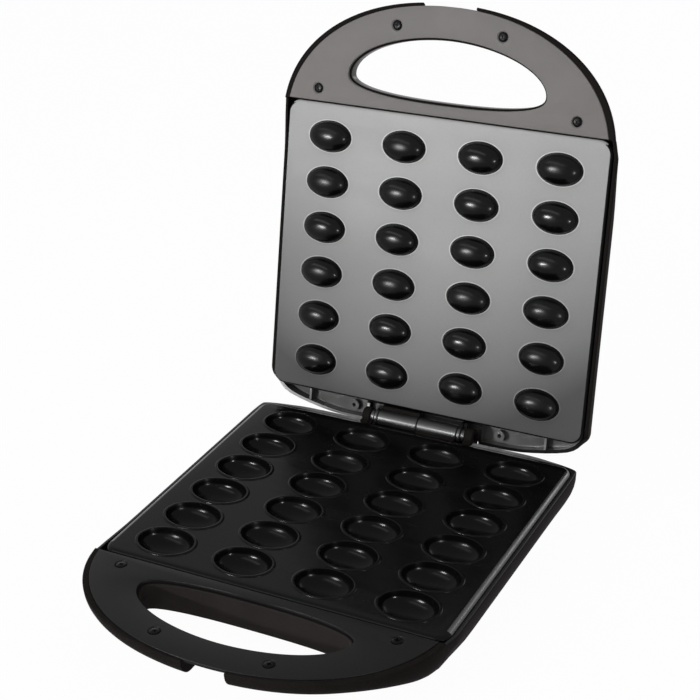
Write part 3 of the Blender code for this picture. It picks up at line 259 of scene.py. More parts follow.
# One material's nodes, or those of the world
class Finish:
    def __init__(self, owner):
        owner.use_nodes = True
        self.owner = owner
        self.tree = owner.node_tree
        self.tree.nodes.clear()

    def node(self, kind, settings=None, values=None, output=0):
        made = self.tree.nodes.new(kind)
        for name, value in (settings or {}).items():
            if name == "stops":
                ramp = made.color_ramp
                while len(ramp.elements) < len(value):
                    ramp.elements.new(1.0)
                for element, (position, colour) in zip(ramp.elements, value):
                    element.position = position
                    element.color = colour
            else:
                setattr(made, name, value)
        for name, value in (values or {}).items():
            if isinstance(value, Signal):
                self.tree.links.new(value.socket, made.inputs[name])
            else:
                made.inputs[name].default_value = value
        return Signal(self, made.outputs[output]) if len(made.outputs) else None

    # Object coordinates, first centred and then turned and scaled
    def space(self, scale=(1, 1, 1), turn=(0, 0, 0), move=(0, 0, 0)):
        source = self.node("ShaderNodeTexCoord", output="Object")
        moved = self.node("ShaderNodeVectorMath", {"operation": "SUBTRACT"}, {0: source, 1: move})
        values = {"Vector": moved, "Rotation": turn, "Scale": scale}
        return self.node("ShaderNodeMapping", {"vector_type": "POINT"}, values)

    def noise(self, scale, detail, roughness, space=None):
        values = {"Scale": scale, "Detail": detail, "Roughness": roughness, "Vector": space or self.space()}
        return self.node("ShaderNodeTexNoise", values=values)

    # Cells, as the distance to each one's middle
    def cells(self, scale):
        values = {"Scale": scale, "Vector": self.space()}
        return self.node("ShaderNodeTexVoronoi", {"feature": "F1"}, values)

    def ramp(self, factor, stops):
        return self.node("ShaderNodeValToRGB", {"stops": stops}, {"Fac": factor})

    def mix(self, factor, first, second):
        return self.node("ShaderNodeMix", {"data_type": "RGBA"}, {0: factor, 6: first, 7: second}, output=2)

    # A value from start to end turned into one from low to high, kept within them
    def spread(self, value, low, high, start=0.0, end=1.0):
        values = {"Value": value, "From Min": start, "From Max": end, "To Min": low, "To Max": high}
        return self.node("ShaderNodeMapRange", {"interpolation_type": "SMOOTHSTEP"}, values)

    def bump(self, height, strength, distance):
        values = {"Height": height, "Strength": strength, "Distance": distance}
        return self.node("ShaderNodeBump", values=values)

    def surface(self, **values):
        names = {
            "colour": "Base Color",
            "roughness": "Roughness",
            "metallic": "Metallic",
            "normal": "Normal",
            "specular": "Specular IOR Level",
            "coat": "Coat Weight",
            "coatRoughness": "Coat Roughness",
        }
        shader = self.node("ShaderNodeBsdfPrincipled", values={names[k]: v for k, v in values.items()})
        self.node("ShaderNodeOutputMaterial", values={"Surface": shader})
        return self.owner


# Linear colour, with alpha, from screen values of 0 to 255
def rgb(red, green, blue):
    values = [c / 255 for c in (red, green, blue)]
    linear = [c / 12.92 if c <= 0.04045 else ((c + 0.055) / 1.055) ** 2.4 for c in values]
    return (*linear, 1.0)


def grey(level):
    return rgb(level, level, level)


def newFinish(name):
    return Finish(bpy.data.materials.new(name))


# The lid's back has a sheen that fades out down its sides
sheen = {"weight": 0.6, "roughness": 0.32, "levels": (0.020, 0.036)}


def lidSheen(finish):
    outward = toUpper.to_3x3() @ Vector((0.0, 0.0, -1.0))
    values = {0: finish.space(move=tuple(hinge)), 1: outward}
    level = finish.node("ShaderNodeVectorMath", {"operation": "DOT_PRODUCT"}, values, output="Value")
    return finish.spread(level, 0.0, sheen["weight"], *sheen["levels"])


# Dark and pale tone, roughness, specular level, depth of the grain, coat
shell = (rgb(27, 23, 23), rgb(33, 29, 29), 0.50, 0.005)
plastics = {
    "black_shell": shell,
    "lid_shell": (*shell, 0.10, lidSheen),
    "hinge_black": (grey(14), grey(24), 0.33, 0.50, 0.03),
    # Pale grey painted light on the black plastic of the lid's rear deck and its window walls
    "hinge_deck": (grey(58), rgb(92, 92, 91), 0.30, 0.40, 0.06),
    # Pale painted highlight on the lower rear rim and on the lid's ribs
    "rear_rim": (grey(118), grey(160), 0.25, 0.50, 0.04),
    # Slightly paler rims: a faint painted highlight, with more gloss than the shell
    "side_rim": (grey(28), grey(38), 0.30, 0.10, 0.04),
    # Near-white painted highlight on the lid's rear rim towards its right
    "bright_rim": (grey(188), grey(214), 0.25, 0.50, 0.04),
    # A paler copy of the shell on the lower window's walls: painted light in their shade
    "lower_window": (rgb(40, 36, 35), rgb(47, 43, 42), 0.50, 0.02),
    "lower_cover": (grey(17), grey(22), 0.42, 0.10, 0.12),
    # The upper cover is the lower cover's black plastic painted grey: painted sheen
    "upper_cover": (rgb(126, 123, 122), rgb(134, 130, 129), 0.47, 0.04, 0.12),
}


# Fine spark-eroded moulding grain, pale flecks and hairline scuffs
def mouldedPlastic(name, dark, pale, roughness, specular, grain=0.10, coat=None):
    finish = newFinish(name)
    cloud = finish.noise(14.0, 4.0, 0.6)
    fine = finish.noise(1500.0, 2.0, 0.6)
    flow = finish.noise(1.0, 3.0, 0.6, finish.space(scale=(220.0, 18.0, 60.0), turn=(0.0, 0.0, 0.5)))
    scuff = finish.spread(flow, 0.0, 1.0, 0.66, 0.80)
    tone = finish.mix(finish.spread(cloud, 0.0, 1.0, 0.3, 0.7), dark, pale)
    return finish.surface(
        colour=finish.mix(finish.spread(fine, 0.0, 0.03, 0.45, 0.75), tone, rgb(150, 148, 146)),
        roughness=finish.spread(cloud, roughness - 0.05, roughness + 0.06, 0.3, 0.7) + scuff * 0.05,
        specular=specular,
        coat=coat(finish) if coat else 0.0,
        coatRoughness=sheen["roughness"],
        normal=finish.bump(fine * 0.7 + finish.cells(900.0) * 0.5, grain, 0.0004),
    )


# The upper plate's colour carries a painted sheen: pale towards the handle and darker towards the hinge and
# its sides
upperSheenPaint = {
    "stops": ((0.0, 94), (0.18, 136), (0.35, 156), (0.55, 174), (1.0, 187)),  # (place, screen value)
    "start": 0.025,
    "perMetre": 4.0,
    "drift": 0.05,
    "change": (0.05, 0.14),  # heights between which the lower fall gives way to the upper one
    "lowMiddle": -0.012,
    "lowFall": 10.0,
    "highMiddle": 0.020,
    "highFall": 2.1,
    "highRound": 0.03,
    "brightest": 250,
}


def upperCoatWithPaintedSheen(finish, lift=1.0):
    line = finish.space(move=tuple(hinge))
    across, up = (finish.node("ShaderNodeSeparateXYZ", values={"Vector": line}, output=axis) for axis in "XZ")
    high = finish.spread(up, 0.0, 1.0, *upperSheenPaint["change"])
    left, right = across - upperSheenPaint["lowMiddle"], across - upperSheenPaint["highMiddle"]
    turn = upperSheenPaint["highRound"]
    lowFall = left * left * upperSheenPaint["lowFall"]
    highFall = ((right * right + turn**2) ** 0.5 - turn) * upperSheenPaint["highFall"]
    climb = up * upperSheenPaint["perMetre"] - (lowFall * (1.0 - high) + highFall * high) - upperSheenPaint["start"]
    drift = finish.noise(5.0, 2.0, 0.5) * upperSheenPaint["drift"]
    stops = []
    for place, level in upperSheenPaint["stops"]:
        stops.append((place, grey(min(level * lift, upperSheenPaint["brightest"]))))
    return finish.ramp(climb + drift, stops)


# Colour or what works it out, roughness, specular level, depth of the texture
coatings = {
    "lower_coating": (rgb(9, 10, 9), 0.21, 0.075, 0.03),
    # Paler than the coating: painted sheen on the lower plate's side edges, besides their real gloss
    "edge_sheen": (grey(52), 0.28, 0.60),
    # Near-black rolled edges and sides of the upper plate: painted shade
    "edge_black": (grey(6), 0.40, 0.04),
    # The upper coating's colour is the painted sheen worked out above
    "upper_coating": (upperCoatWithPaintedSheen, 0.40, 0.05),
    # A paler copy of the painted sheen: a painted pale ring at each dome's foot
    "dome_ring": (lambda finish: upperCoatWithPaintedSheen(finish, 1.22), 0.40, 0.05),
    "dome_coating": (grey(8), 0.22, 0.12, 0.02),
}


# Sprayed non-stick coating: orange peel, tiny bright and dark flecks, faint wipe marks
def bakingCoat(name, colour, roughness, specular, texture=0.18):
    finish = newFinish(name)
    peel = finish.noise(520.0, 2.0, 0.45)
    dust = finish.noise(2600.0, 1.0, 0.5)
    wipe = finish.noise(1.0, 4.0, 0.65, finish.space(scale=(9.0, 60.0, 60.0), turn=(0.2, 0.3, 0.4)))
    bright = finish.spread(finish.cells(700.0), 0.10, 0.0, 0.02, 0.14)
    tone = colour(finish) if callable(colour) else colour
    tone = finish.mix(bright, tone, grey(190))
    return finish.surface(
        colour=finish.mix(finish.spread(dust, 0.0, 0.18, 0.5, 0.8), tone, rgb(12, 12, 13)),
        roughness=finish.spread(wipe, roughness - 0.05, roughness + 0.07, 0.35, 0.65),
        specular=specular,
        normal=finish.bump(peel * 0.8 + dust * 0.2, texture, 0.0003),
    )


# Colour, roughness, scale of the streaks along x, y and z
metals = {
    "black_screw": (grey(20), 0.30, (700.0, 700.0, 700.0)),
    "steel": (rgb(186, 186, 188), 0.28),
    "element_sheath": (rgb(150, 148, 144), 0.45, (400.0, 400.0, 60.0)),
    "reflector_sheet": (rgb(205, 205, 206), 0.24),
}


# Fine streaks, with darker stains
def brushedMetal(name, colour, roughness, streak=(900.0, 40.0, 900.0)):
    finish = newFinish(name)
    lines = finish.noise(1.0, 3.0, 0.6, finish.space(scale=streak))
    stain = finish.noise(60.0, 3.0, 0.6)
    darker = (*(c * 0.55 for c in colour[:3]), 1.0)
    return finish.surface(
        colour=finish.mix(finish.spread(stain, 0.0, 0.5, 0.35, 0.75), colour, darker),
        metallic=1.0,
        roughness=finish.spread(lines, roughness - 0.08, roughness + 0.12, 0.3, 0.7),
        normal=finish.bump(lines, 0.12, 0.0002),
    )


# Matt rubber with pale dust in patches
def softRubber(name):
    finish = newFinish(name)
    fine = finish.noise(1800.0, 2.0, 0.6)
    dust = finish.noise(90.0, 4.0, 0.7)
    return finish.surface(
        colour=finish.mix(finish.spread(dust, 0.0, 0.35, 0.45, 0.75), grey(26), rgb(66, 64, 62)),
        roughness=finish.spread(dust, 0.68, 0.9),
        specular=0.25,
        normal=finish.bump(fine, 0.3, 0.0004),
    )


# Cream ceramic with fine pores and brown stains
def ceramicCream(name):
    finish = newFinish(name)
    pores = finish.noise(700.0, 3.0, 0.6)
    stain = finish.noise(40.0, 3.0, 0.6)
    return finish.surface(
        colour=finish.mix(finish.spread(stain, 0.0, 0.5), rgb(226, 218, 200), rgb(198, 184, 158)),
        roughness=finish.spread(pores, 0.45, 0.62),
        normal=finish.bump(pores, 0.2, 0.0004),
    )


# Deep and bright tone of each lamp's plastic
lenses = {
    "red_lens": (rgb(120, 8, 6), rgb(190, 24, 16)),
    "green_lens": (rgb(8, 84, 20), rgb(30, 150, 48)),
}


def lampLens(name, deep, bright):
    finish = newFinish(name)
    ridges = finish.noise(260.0, 1.0, 0.4)
    return finish.surface(
        colour=finish.mix(finish.spread(ridges, 0.0, 1.0, 0.35, 0.65), deep, bright),
        roughness=finish.spread(ridges, 0.10, 0.2),
        specular=0.6,
        coat=0.6,
        coatRoughness=0.05,
    )


looks = {"rubber": softRubber("rubber"), "insulator": ceramicCream("insulator")}
makers = ((mouldedPlastic, plastics), (bakingCoat, coatings), (brushedMetal, metals), (lampLens, lenses))
for make, kinds in makers:
    for name, values in kinds.items():
        looks[name] = make(name, *values)
print("scene: finishes made")


# Outlines in the half frame, as (x, distance in front of the hinge)
body = {
    "halfWidth": 0.1445,
    "step": 0.2549,  # where the body meets the handle
    "stepRun": 0.0008,
    "wall": 0.0025,
    "rim": 0.003,  # the rims' levels below the meeting plane
    "handleRim": 0.0016,
    "shoulder": 0.002,
    "depth": 0.039,
    "sideInset": 0.027,  # how far each wall leans inwards
    "rearSideInset": 0.024,
    "sideZone": 0.060,
    "handleInset": 0.012,
    "insetSlope": (0.2150, 0.2800),
    "rearInset": 0.008,
    "rearZone": 0.010,
    "rimRound": ((0.0010, 0.0), (0.0005, 0.00015), (0.00015, 0.0005), (0.0, 0.0010)),  # (inwards, down)
    "turns": 9,
    "overrun": 0.004,  # how far a cutting tool reaches past the shell
    "plateSeat": 0.0093,
    "seatDrop": 0.001,
    "coverSeat": 0.0034,
    "pocketPast": 0.0004,  # how far the hollow reaches past the step
    "sideSteps": 18,
    "cornerSteps": 4,
    "joinRun": 0.045,  # length over which a side eases over to the handle's
    "cornerRun": 0.012,  # the same beside the plate
    "joinLevels": (0.0093, 0.0155),
    "thicken": 0.0014,  # extra wall below the plate, near the handle
    "thickenSpan": (0.2250, 0.2450),
    "least": 0.00001,
}
handle = {
    "halfWidth": 0.1449,
    "centre": 0.2400,
    "reach": 0.1043,
    "power": 2.15,
    "steps": 40,
    "frontTurn": 87.5,  # degrees, at the outline's first point
    "notchDepth": 0.0223,
}
handleSize = (handle["halfWidth"], handle["reach"], handle["power"])

# A turn is the rear corner's, as (shares of the half width, shares of the corner's length)
halves = {
    "lower": {
        "shift": -0.0022,
        "slope": (0.2100, 0.3200),
        "handleDepth": 0.017,
        "notch": (-0.014, 0.020),
        "rear": 0.0032,
        "corner": 0.026,
        "rearRim": 0.003,
        "rearWall": 0.005,
        "turn": ((0.9945, 0.978, 0.91, 0.83, 0.69, 0.36, 0.12), (0.48, 0.31, 0.19, 0.11, 0.015, 0.0, 0.0)),
    },
    "upper": {
        "shift": 0.0022,
        "slope": (0.1850, 0.2780),
        "handleDepth": 0.0115,
        "notch": (-0.019, 0.028),
        "rear": -0.008,
        "corner": 0.024,
        "rearRim": 0.008,
        "rearWall": 0.0025,
        "turn": ((0.995, 0.97, 0.88, 0.61, 0.36, 0.12), (0.75, 0.60, 0.28, 0.03, 0.0, 0.0)),
    },
}


def arcPoint(turn, halfWidth, reach, power):
    along = blend(body["step"], handle["centre"] + reach, math.sin(turn))
    across = max(1.0 - (abs(along - handle["centre"]) / reach) ** power, 0.0)
    return halfWidth * across ** (1.0 / power), along


# Half of the handle's outline from its front middle back to the step
def handleLine(inset, halfWidth, reach, power):
    points = []
    for i in range(handle["steps"] + 1):
        turn = blend(math.radians(handle["frontTurn"]), 0.0, i / handle["steps"])
        along = arcPoint(turn, *handleSize)[1]
        points.append(arcPoint(turn, halfWidth - inset(along), reach - inset(along), power))
    return points


# Half of the body's outline from the step to the middle of the rear edge
def bodyLine(form, sideInset, rearInset, front=body["step"] - body["stepRun"]):
    steps = body["sideSteps"]
    sides = [(1.0, blend(form["corner"], front, 1.0 - i / steps)) for i in range(steps)]
    turned = [(a, blend(form["rear"], form["corner"], b), 0.0) for a, b in ((1.0, 1.0), *zip(*form["turn"]))]
    curve = curveThrough(turned, body["cornerSteps"])
    length = body["step"] - form["rear"]
    points = []
    for across, along in sides + [tuple(p)[:2] for p in curve]:
        x = min(across, 1.0) * (body["halfWidth"] - sideInset(along))
        d = front - (front - along) * (1.0 - rearInset / length)
        points.append((x, min(d, points[-1][1] - body["least"]) if points else d))
    return points


# Both sides of an outline, each point at its own level below the meeting plane
def wholeRing(form, handlePoints, bodyPoints, level):
    shift = form["shift"]
    edge = handlePoints or [arcPoint(0.0, *handleSize)]
    flare = edge[-1][0] - (bodyPoints[0][0] if handlePoints else body["halfWidth"])

    # A side eases over to where the handle's starts. A side that moves in starts later beside the plate
    def joined(side):
        move = side * flare + shift
        for x, d in bodyPoints:
            share = 1.0 if side * move > 0 else ease(level(d), *body["joinLevels"])
            run = blend(body["cornerRun"], body["joinRun"], share)
            yield side * x + ease(d, body["step"] - run, body["step"]) * move, d

    right = [(x + shift, d) for x, d in handlePoints] + list(joined(1.0))
    left = list(reversed(list(joined(-1.0)))) + [(shift - x, d) for x, d in reversed(handlePoints)]
    return [Vector((x, -d, -level(d))) for x, d in right + left]


def insetAt(along):
    side = blend(body["rearSideInset"], body["sideInset"], ease(along, 0.0, body["sideZone"]))
    return blend(side, body["handleInset"], ease(along, *body["insetSlope"]))


def depthAt(form, along):
    return blend(body["depth"], form["handleDepth"], ease(along, *form["slope"]))


def rimAt(form, along):
    if along > body["step"] - body["stepRun"] / 2:
        return body["handleRim"]
    return blend(form["rearRim"], body["rim"], ease(along, body["rearZone"], form["corner"]))


def flat(value):
    return lambda along: value


# A quarter turn from a wall to a floor, in steps of (share inwards, share down)
def quarterTurn():
    for step in range(body["turns"] + 1):
        turn = math.pi / 2 * step / body["turns"]
        yield 1.0 - math.cos(turn), math.sin(turn)


def outerRings(form):
    rings = []
    for inset, drop in body["rimRound"]:
        level = lambda d: rimAt(form, d) + drop
        lines = handleLine(flat(inset), *handleSize), bodyLine(form, flat(inset), inset)
        rings.append(wholeRing(form, *lines, level))
    for bend, fall in quarterTurn():
        inset = lambda d: insetAt(d) * bend
        level = lambda d: blend(rimAt(form, d) + body["shoulder"], depthAt(form, d), fall)
        lines = handleLine(inset, *handleSize), bodyLine(form, inset, body["rearInset"] * bend)
        rings.append(wholeRing(form, *lines, level))
    return rings


# The hollow that the plate and the heating parts lie in
def pocketRings(form):
    front = body["step"] + body["pocketPast"]
    wall, rearWall = body["wall"], form["rearWall"]
    rings = []
    for level in (-body["overrun"], body["plateSeat"]):
        rings.append(wholeRing(form, [], bodyLine(form, flat(wall), rearWall, front), flat(level)))
    for bend, fall in quarterTurn():
        inset = lambda d: wall + insetAt(d) * bend + body["thicken"] * ease(d, *body["thickenSpan"])
        level = lambda d: blend(body["plateSeat"] + body["seatDrop"], depthAt(form, d) - wall, fall)
        line = bodyLine(form, inset, rearWall + body["rearInset"] * bend, front)
        rings.append(wholeRing(form, [], line, level))
    return rings


cover = {
    "halfWidth": 0.1402,
    "reach": 0.1020,
    "power": 2.1,
    "rear": 0.2558,
    "level": 0.0006,
    "thick": 0.0025,
    "gap": 0.0003,
    "edgeRound": 0.0006,
    "screwX": (0.1125, 0.0455),
    "screwD": (0.2660, 0.3235),
    "smooth": 30.0,  # degrees
}
window = {
    "half": 0.0862,
    "centre": 0.281,
    "front": 0.0363,
    "frontPower": 1.9,
    "rear": 0.0165,
    "rearPower": 2.5,
    "lip": 0.002,
    "flare": ((-0.0001, 0.0008), (0.0003, 0.0003), (0.0009, 0.0)),  # (level past the seat, growth)
    "steps": 28,
}


# One half of an outline, followed by the other half back to its start
def mirrored(points, shift):
    return [(x + shift, d) for x, d in points] + [(shift - x, d) for x, d in reversed(points)]


def coverLine(form, grow):
    size = (cover["halfWidth"] + grow, cover["reach"] + grow, cover["power"])
    points = [(x, max(d, cover["rear"] - grow)) for x, d in handleLine(flat(0.0), *size)]
    return mirrored(points, form["shift"])


def windowLine(form, grow):
    points = []
    steps = window["steps"]
    for side, count, sign in (("front", steps, 1.0), ("rear", steps // 2, -1.0)):
        power = window[side + "Power"]
        for i in range(count):
            share = (i + 0.5) / count
            a = math.pi / 2 * (1.0 - share if sign > 0 else share)
            x = (window["half"] + grow) * math.cos(a) ** (2.0 / power)
            points.append((x, window["centre"] + sign * (window[side] + grow) * math.sin(a) ** (2.0 / power)))
    return mirrored(points, form["shift"])


def atLevel(line, level):
    return [Vector((x, -d, -level)) for x, d in line]


def loopTool(name, rings):
    bm = bmesh.new()
    solidLoops(bm, rings)
    tidySolid(bm)
    return meshObject(name, bm)


def both(half):
    return -half, half


# A box from ranges of x, of distance in front of the hinge and of level below the meeting plane
def boxMesh(*spans):
    bm = bmesh.new()
    bmesh.ops.create_cube(bm, size=1.0)
    bmesh.ops.scale(bm, vec=[high - low for low, high in spans], verts=bm.verts)
    x, d, level = ((low + high) / 2 for low, high in spans)
    shiftMesh(bm, (x, -d, -level))
    return bm


def boxTool(name, *spans):
    return meshObject(name, boxMesh(*spans))


def rodMesh(radius, length, segments):
    bm = bmesh.new()
    size = {"radius1": radius, "radius2": radius, "depth": length}
    bmesh.ops.create_cone(bm, cap_ends=True, segments=segments, **size)
    return bm


# A rod along x, y or z between start and end, in the half frame
def roundTool(name, radius, start, end, middle, axis="Z", segments=32):
    bm = rodMesh(radius, abs(end - start), segments)
    shiftMesh(bm, (0, 0, (start + end) / 2))
    turns = {"X": ("Y", math.pi / 2), "Y": ("X", -math.pi / 2), "Z": ("Z", 0.0)}
    about, angle = turns[axis]
    bmesh.ops.rotate(bm, matrix=Matrix.Rotation(angle, 3, about), verts=bm.verts)
    shiftMesh(bm, middle)
    return meshObject(name, bm)


# Housings, with their levels below the meeting plane
parts = {
    "knuckleRadius": 0.007,
    "knuckleSteps": 64,
    "gap": 0.00015,
    "long": 0.036,
    "short": 0.007,
    "shortStep": 0.0032,
    "shortRadius": 0.0056,
    "cheek": (0.0433, 0.0503),
    "cheekRadius": 0.0066,
    "cheekArm": (0.0010, 0.0130),
    "tray": (0.0077, 0.0130),
    "trayBack": -0.0052,
    "chamfer": 0.0007,
    "armLevels": (0.0008, 0.011),
    "armInset": 0.0001,
    "recessHalf": 0.0505,
    "recessFront": 0.0086,
    "recessDepth": 0.0145,
    "recessWall": 0.0023,
    "bore": 0.0028,
    "ribPlace": 0.108,
    "ribThick": 0.0018,
    "ribFront": 0.0115,
    "bossPlace": 0.067,
    "bossRadius": 0.0045,
    "bossD": 0.0018,
    "bossTop": 0.0115,
    "bossBore": 0.0017,
    "bossBoreLevels": (0.009, 0.0175),
    "deckHalf": 0.15,
    "deckFront": 0.0121,
    "deckLevel": 0.0165,
    "lowerDeck": (0.0034, 0.0058),
    "lowerDeckFront": 0.0108,
    "inletPlace": 0.078,
    "inletLevel": 0.022,
    "inletBore": 0.0068,
    "inletBoreFront": 0.020,
    "inletPad": 0.0105,
    "inletPadSpan": (0.0034, 0.0084),
    "lampPlace": 0.168,
    "lampSide": 0.012,
    "lampBore": 0.0045,
    "lampBoreLevel": 0.030,
}


# The knuckles of one half, each as its span of x and its radius
def knuckleSpans(word):
    gap = parts["gap"]
    step = parts["long"] + parts["shortStep"]
    spans = [
        (gap, parts["long"] - gap, parts["knuckleRadius"]),
        (-step, -parts["long"] - gap, parts["knuckleRadius"]),
        (-(parts["long"] + parts["short"]), -step, parts["shortRadius"]),
    ]
    if word == "lower":
        near, far = parts["cheek"]
        spans += [(-far, -near, parts["cheekRadius"]), (near, far, parts["cheekRadius"])]
    return spans


def knuckleTool(start, end, radius):
    cut = parts["chamfer"]
    profile = [(0.0, start), (radius - cut, start), (radius, start + cut)]
    profile += [(radius, end - cut), (radius - cut, end), (0.0, end)]
    bm = turnedMesh(profile, parts["knuckleSteps"])
    bmesh.ops.rotate(bm, matrix=Matrix.Rotation(math.pi / 2, 3, "Y"), verts=bm.verts)
    return meshObject("knuckle", bm)


# The recess for the hinge, or that with a wall around it
def recessTool(form, wall, top):
    span = (form["rear"] - body["overrun"], parts["recessFront"] + wall)
    return boxTool("recess", both(parts["recessHalf"] + wall), span, (top, parts["recessDepth"] + wall))


# The hollow, less the recess's wall, ribs, bosses and deck that stand in it
def pocketTool(word):
    form = halves[word]
    deep = body["depth"] + body["overrun"]
    pocket = loopTool("pocket", pocketRings(form))
    kept = [recessTool(form, parts["recessWall"], -2 * body["overrun"])]
    if word == "upper":
        half = parts["ribThick"] / 2
        ribSpan = (form["rear"], parts["ribFront"])
        for side in (-1, 1):
            x = side * parts["ribPlace"]
            kept.append(boxTool("keptRib", (x - half, x + half), ribSpan, (body["plateSeat"], deep)))
            middle = (side * parts["bossPlace"], -parts["bossD"], 0.0)
            kept.append(roundTool("keptBoss", parts["bossRadius"], -parts["bossTop"], -deep, middle))
        deck = (form["rear"], parts["deckFront"]), (parts["deckLevel"], deep)
    else:
        deck = (form["rear"], parts["lowerDeckFront"]), parts["lowerDeck"]
    kept.append(boxTool("keptDeck", both(parts["deckHalf"]), *deck))
    addTools(pocket, "DIFFERENCE", kept)
    settle(pocket)
    return pocket


# Arms and knuckles, and below the lower ones a tray with two cheeks
def hingeTools(word):
    inset = parts["chamfer"] + parts["armInset"]
    reach = (0.0, parts["recessFront"] + parts["recessWall"] / 2)
    for start, end, radius in knuckleSpans(word):
        yield boxTool("arm", (start + inset, end - inset), reach, parts["armLevels"])
        yield knuckleTool(start, end, radius)
    if word == "lower":
        near, far = parts["cheek"]
        behind = (parts["trayBack"], parts["recessFront"] + parts["recessWall"] / 3)
        yield boxTool("tray", both(far), behind, parts["tray"])
        yield boxTool("cheek", (-far, -near), behind, parts["cheekArm"])
        yield boxTool("cheek", (near, far), behind, parts["cheekArm"])


def windowTool(form, top, deep):
    flare = [(body["coverSeat"] + level, grow - window["lip"]) for level, grow in window["flare"]]
    flare = [(top, flare[0][1]), *flare, (deep, flare[-1][1])]
    return loopTool("window", [atLevel(windowLine(form, grow), level) for level, grow in flare])


# The window, the notch and the bores
def openingTools(word, top, deep):
    form = halves[word]
    front = handle["centre"] + handle["reach"]
    notchSpan = (front - handle["notchDepth"], front + body["overrun"])
    yield windowTool(form, top, deep)
    yield boxTool("notch", form["notch"], notchSpan, (top, deep))
    yield roundTool("pinBore", parts["bore"], *both(parts["recessHalf"]), (0, 0, 0), axis="X", segments=24)
    if word == "upper":
        high, low = parts["bossBoreLevels"]
        for side in (-1, 1):
            middle = (side * parts["lampSide"], -parts["lampPlace"], 0.0)
            start = -parts["lampBoreLevel"]
            yield roundTool("lampBore", parts["lampBore"], start, -deep, middle, segments=24)
            middle = (side * parts["bossPlace"], -parts["bossD"], 0.0)
            yield roundTool("bossBore", parts["bossBore"], -high, -low, middle, segments=20)


# The pad around the cord's inlet, and the inlet's bore
def addInlet(shell):
    x, level, pad = parts["inletPlace"], parts["inletLevel"], parts["inletPad"]
    levels = (level - pad, level + pad)
    span = (body["overrun"], -parts["inletBoreFront"])
    addTools(shell, "UNION", [boxTool("inletPad", (x - pad, x + pad), parts["inletPadSpan"], levels)])
    bore = roundTool("inletBore", parts["inletBore"], *span, (x, 0.0, -level), axis="Y")
    addTools(shell, "DIFFERENCE", [bore])


# Where the housings' other finishes lie: the knuckles' gloss, and painted highlights and painted light on
# rims, ribs, the deck and the windows
areas = {
    "knuckle": 1.05,  # in shares of its radius
    "rimLevels": (-0.0003, 0.0012),  # past the rim's own level
    "rimRise": 0.5,
    "sideRimEnd": 0.002,
    "windowGrow": 0.001,
    "windowRise": 0.6,
    "brightRim": 0.098,
    "upperBright": 0.04,
    "upperRear": 0.016,
    "ribEdge": (0.001, 0.0116),  # (half width, front)
    "ribRise": 0.9,
    "deckLevels": (0.0092, 0.0175),
    "deckHalf": 0.14,
}


def housingRules(word):
    form = halves[word]
    near = parts["cheek"][0]
    ribHalf, ribFront = areas["ribEdge"]

    def onKnuckle(x, d, level, rise):
        return abs(x) < near and math.hypot(d, level) < parts["knuckleRadius"] * areas["knuckle"]

    def onRim(x, d, level, rise):
        low, high = areas["rimLevels"]
        outside = abs(x) > parts["recessHalf"]
        return outside and rise > areas["rimRise"] and low < level - rimAt(form, d) < high

    def inWindow(x, d, level, rise):
        grow = areas["windowGrow"]
        across = (x - form["shift"]) / (window["half"] + grow)
        along = (d - window["centre"]) / (window["front"] + grow)
        return abs(rise) < areas["windowRise"] and across**2 + along**2 < 1.0

    def onRearRim(x, d, *more):
        return d < parts["lowerDeckFront"] and abs(x) < areas["brightRim"] and onRim(x, d, *more)

    def onSideRim(x, d, *more):
        return d < body["step"] - areas["sideRimEnd"] and onRim(x, d, *more)

    def onUpperRim(x, d, *more):
        return d < areas["upperRear"] and onRim(x, d, *more)

    def onBrightRim(x, *more):
        return x > areas["upperBright"] and onUpperRim(x, *more)

    def onRib(x, d, level, rise):
        return rise > areas["ribRise"] and d < ribFront and abs(abs(x) - parts["ribPlace"]) < ribHalf

    def onDeck(x, d, level, rise):
        low, high = areas["deckLevels"]
        return d < parts["deckFront"] and low < level < high and abs(x) < areas["deckHalf"]

    rules = [("hinge_black", onKnuckle)]
    if word == "lower":
        return rules + [("lower_window", inWindow), ("rear_rim", onRearRim), ("side_rim", onSideRim)]
    rules += [("bright_rim", onBrightRim), ("side_rim", onUpperRim), ("rear_rim", onRib)]
    return rules + [("hinge_deck", onDeck), ("hinge_deck", inWindow)]


def makeHousing(word):
    form = halves[word]
    top, deep = -body["overrun"], body["depth"] + body["overrun"]
    name = word + "_housing"
    shell = loopTool(name + "_shell", outerRings(form))
    seatLevels = (top, body["coverSeat"])
    seat = loopTool("coverSeat", [atLevel(coverLine(form, cover["gap"]), level) for level in seatLevels])
    addTools(shell, "DIFFERENCE", [pocketTool(word), seat, recessTool(form, 0.0, top)])
    addTools(shell, "UNION", hingeTools(word))
    addTools(shell, "DIFFERENCE", openingTools(word, top, deep))
    if word == "lower":
        addInlet(shell)
    settle(shell)
    bm = meshOf(shell)
    bmesh.ops.remove_doubles(bm, verts=bm.verts, dist=2e-6)
    made = meshObject(name + "_detail", bm, places[word])
    bpy.data.objects.remove(shell)
    smoothShade(made)
    look = looks["black_shell" if word == "lower" else "lid_shell"]
    finishPiece(made, bodies[word], "black_shell", look, name)
    paintFaces(made, places[word], housingRules(word))


for word in halves:
    makeHousing(word)
print("scene: housings made")


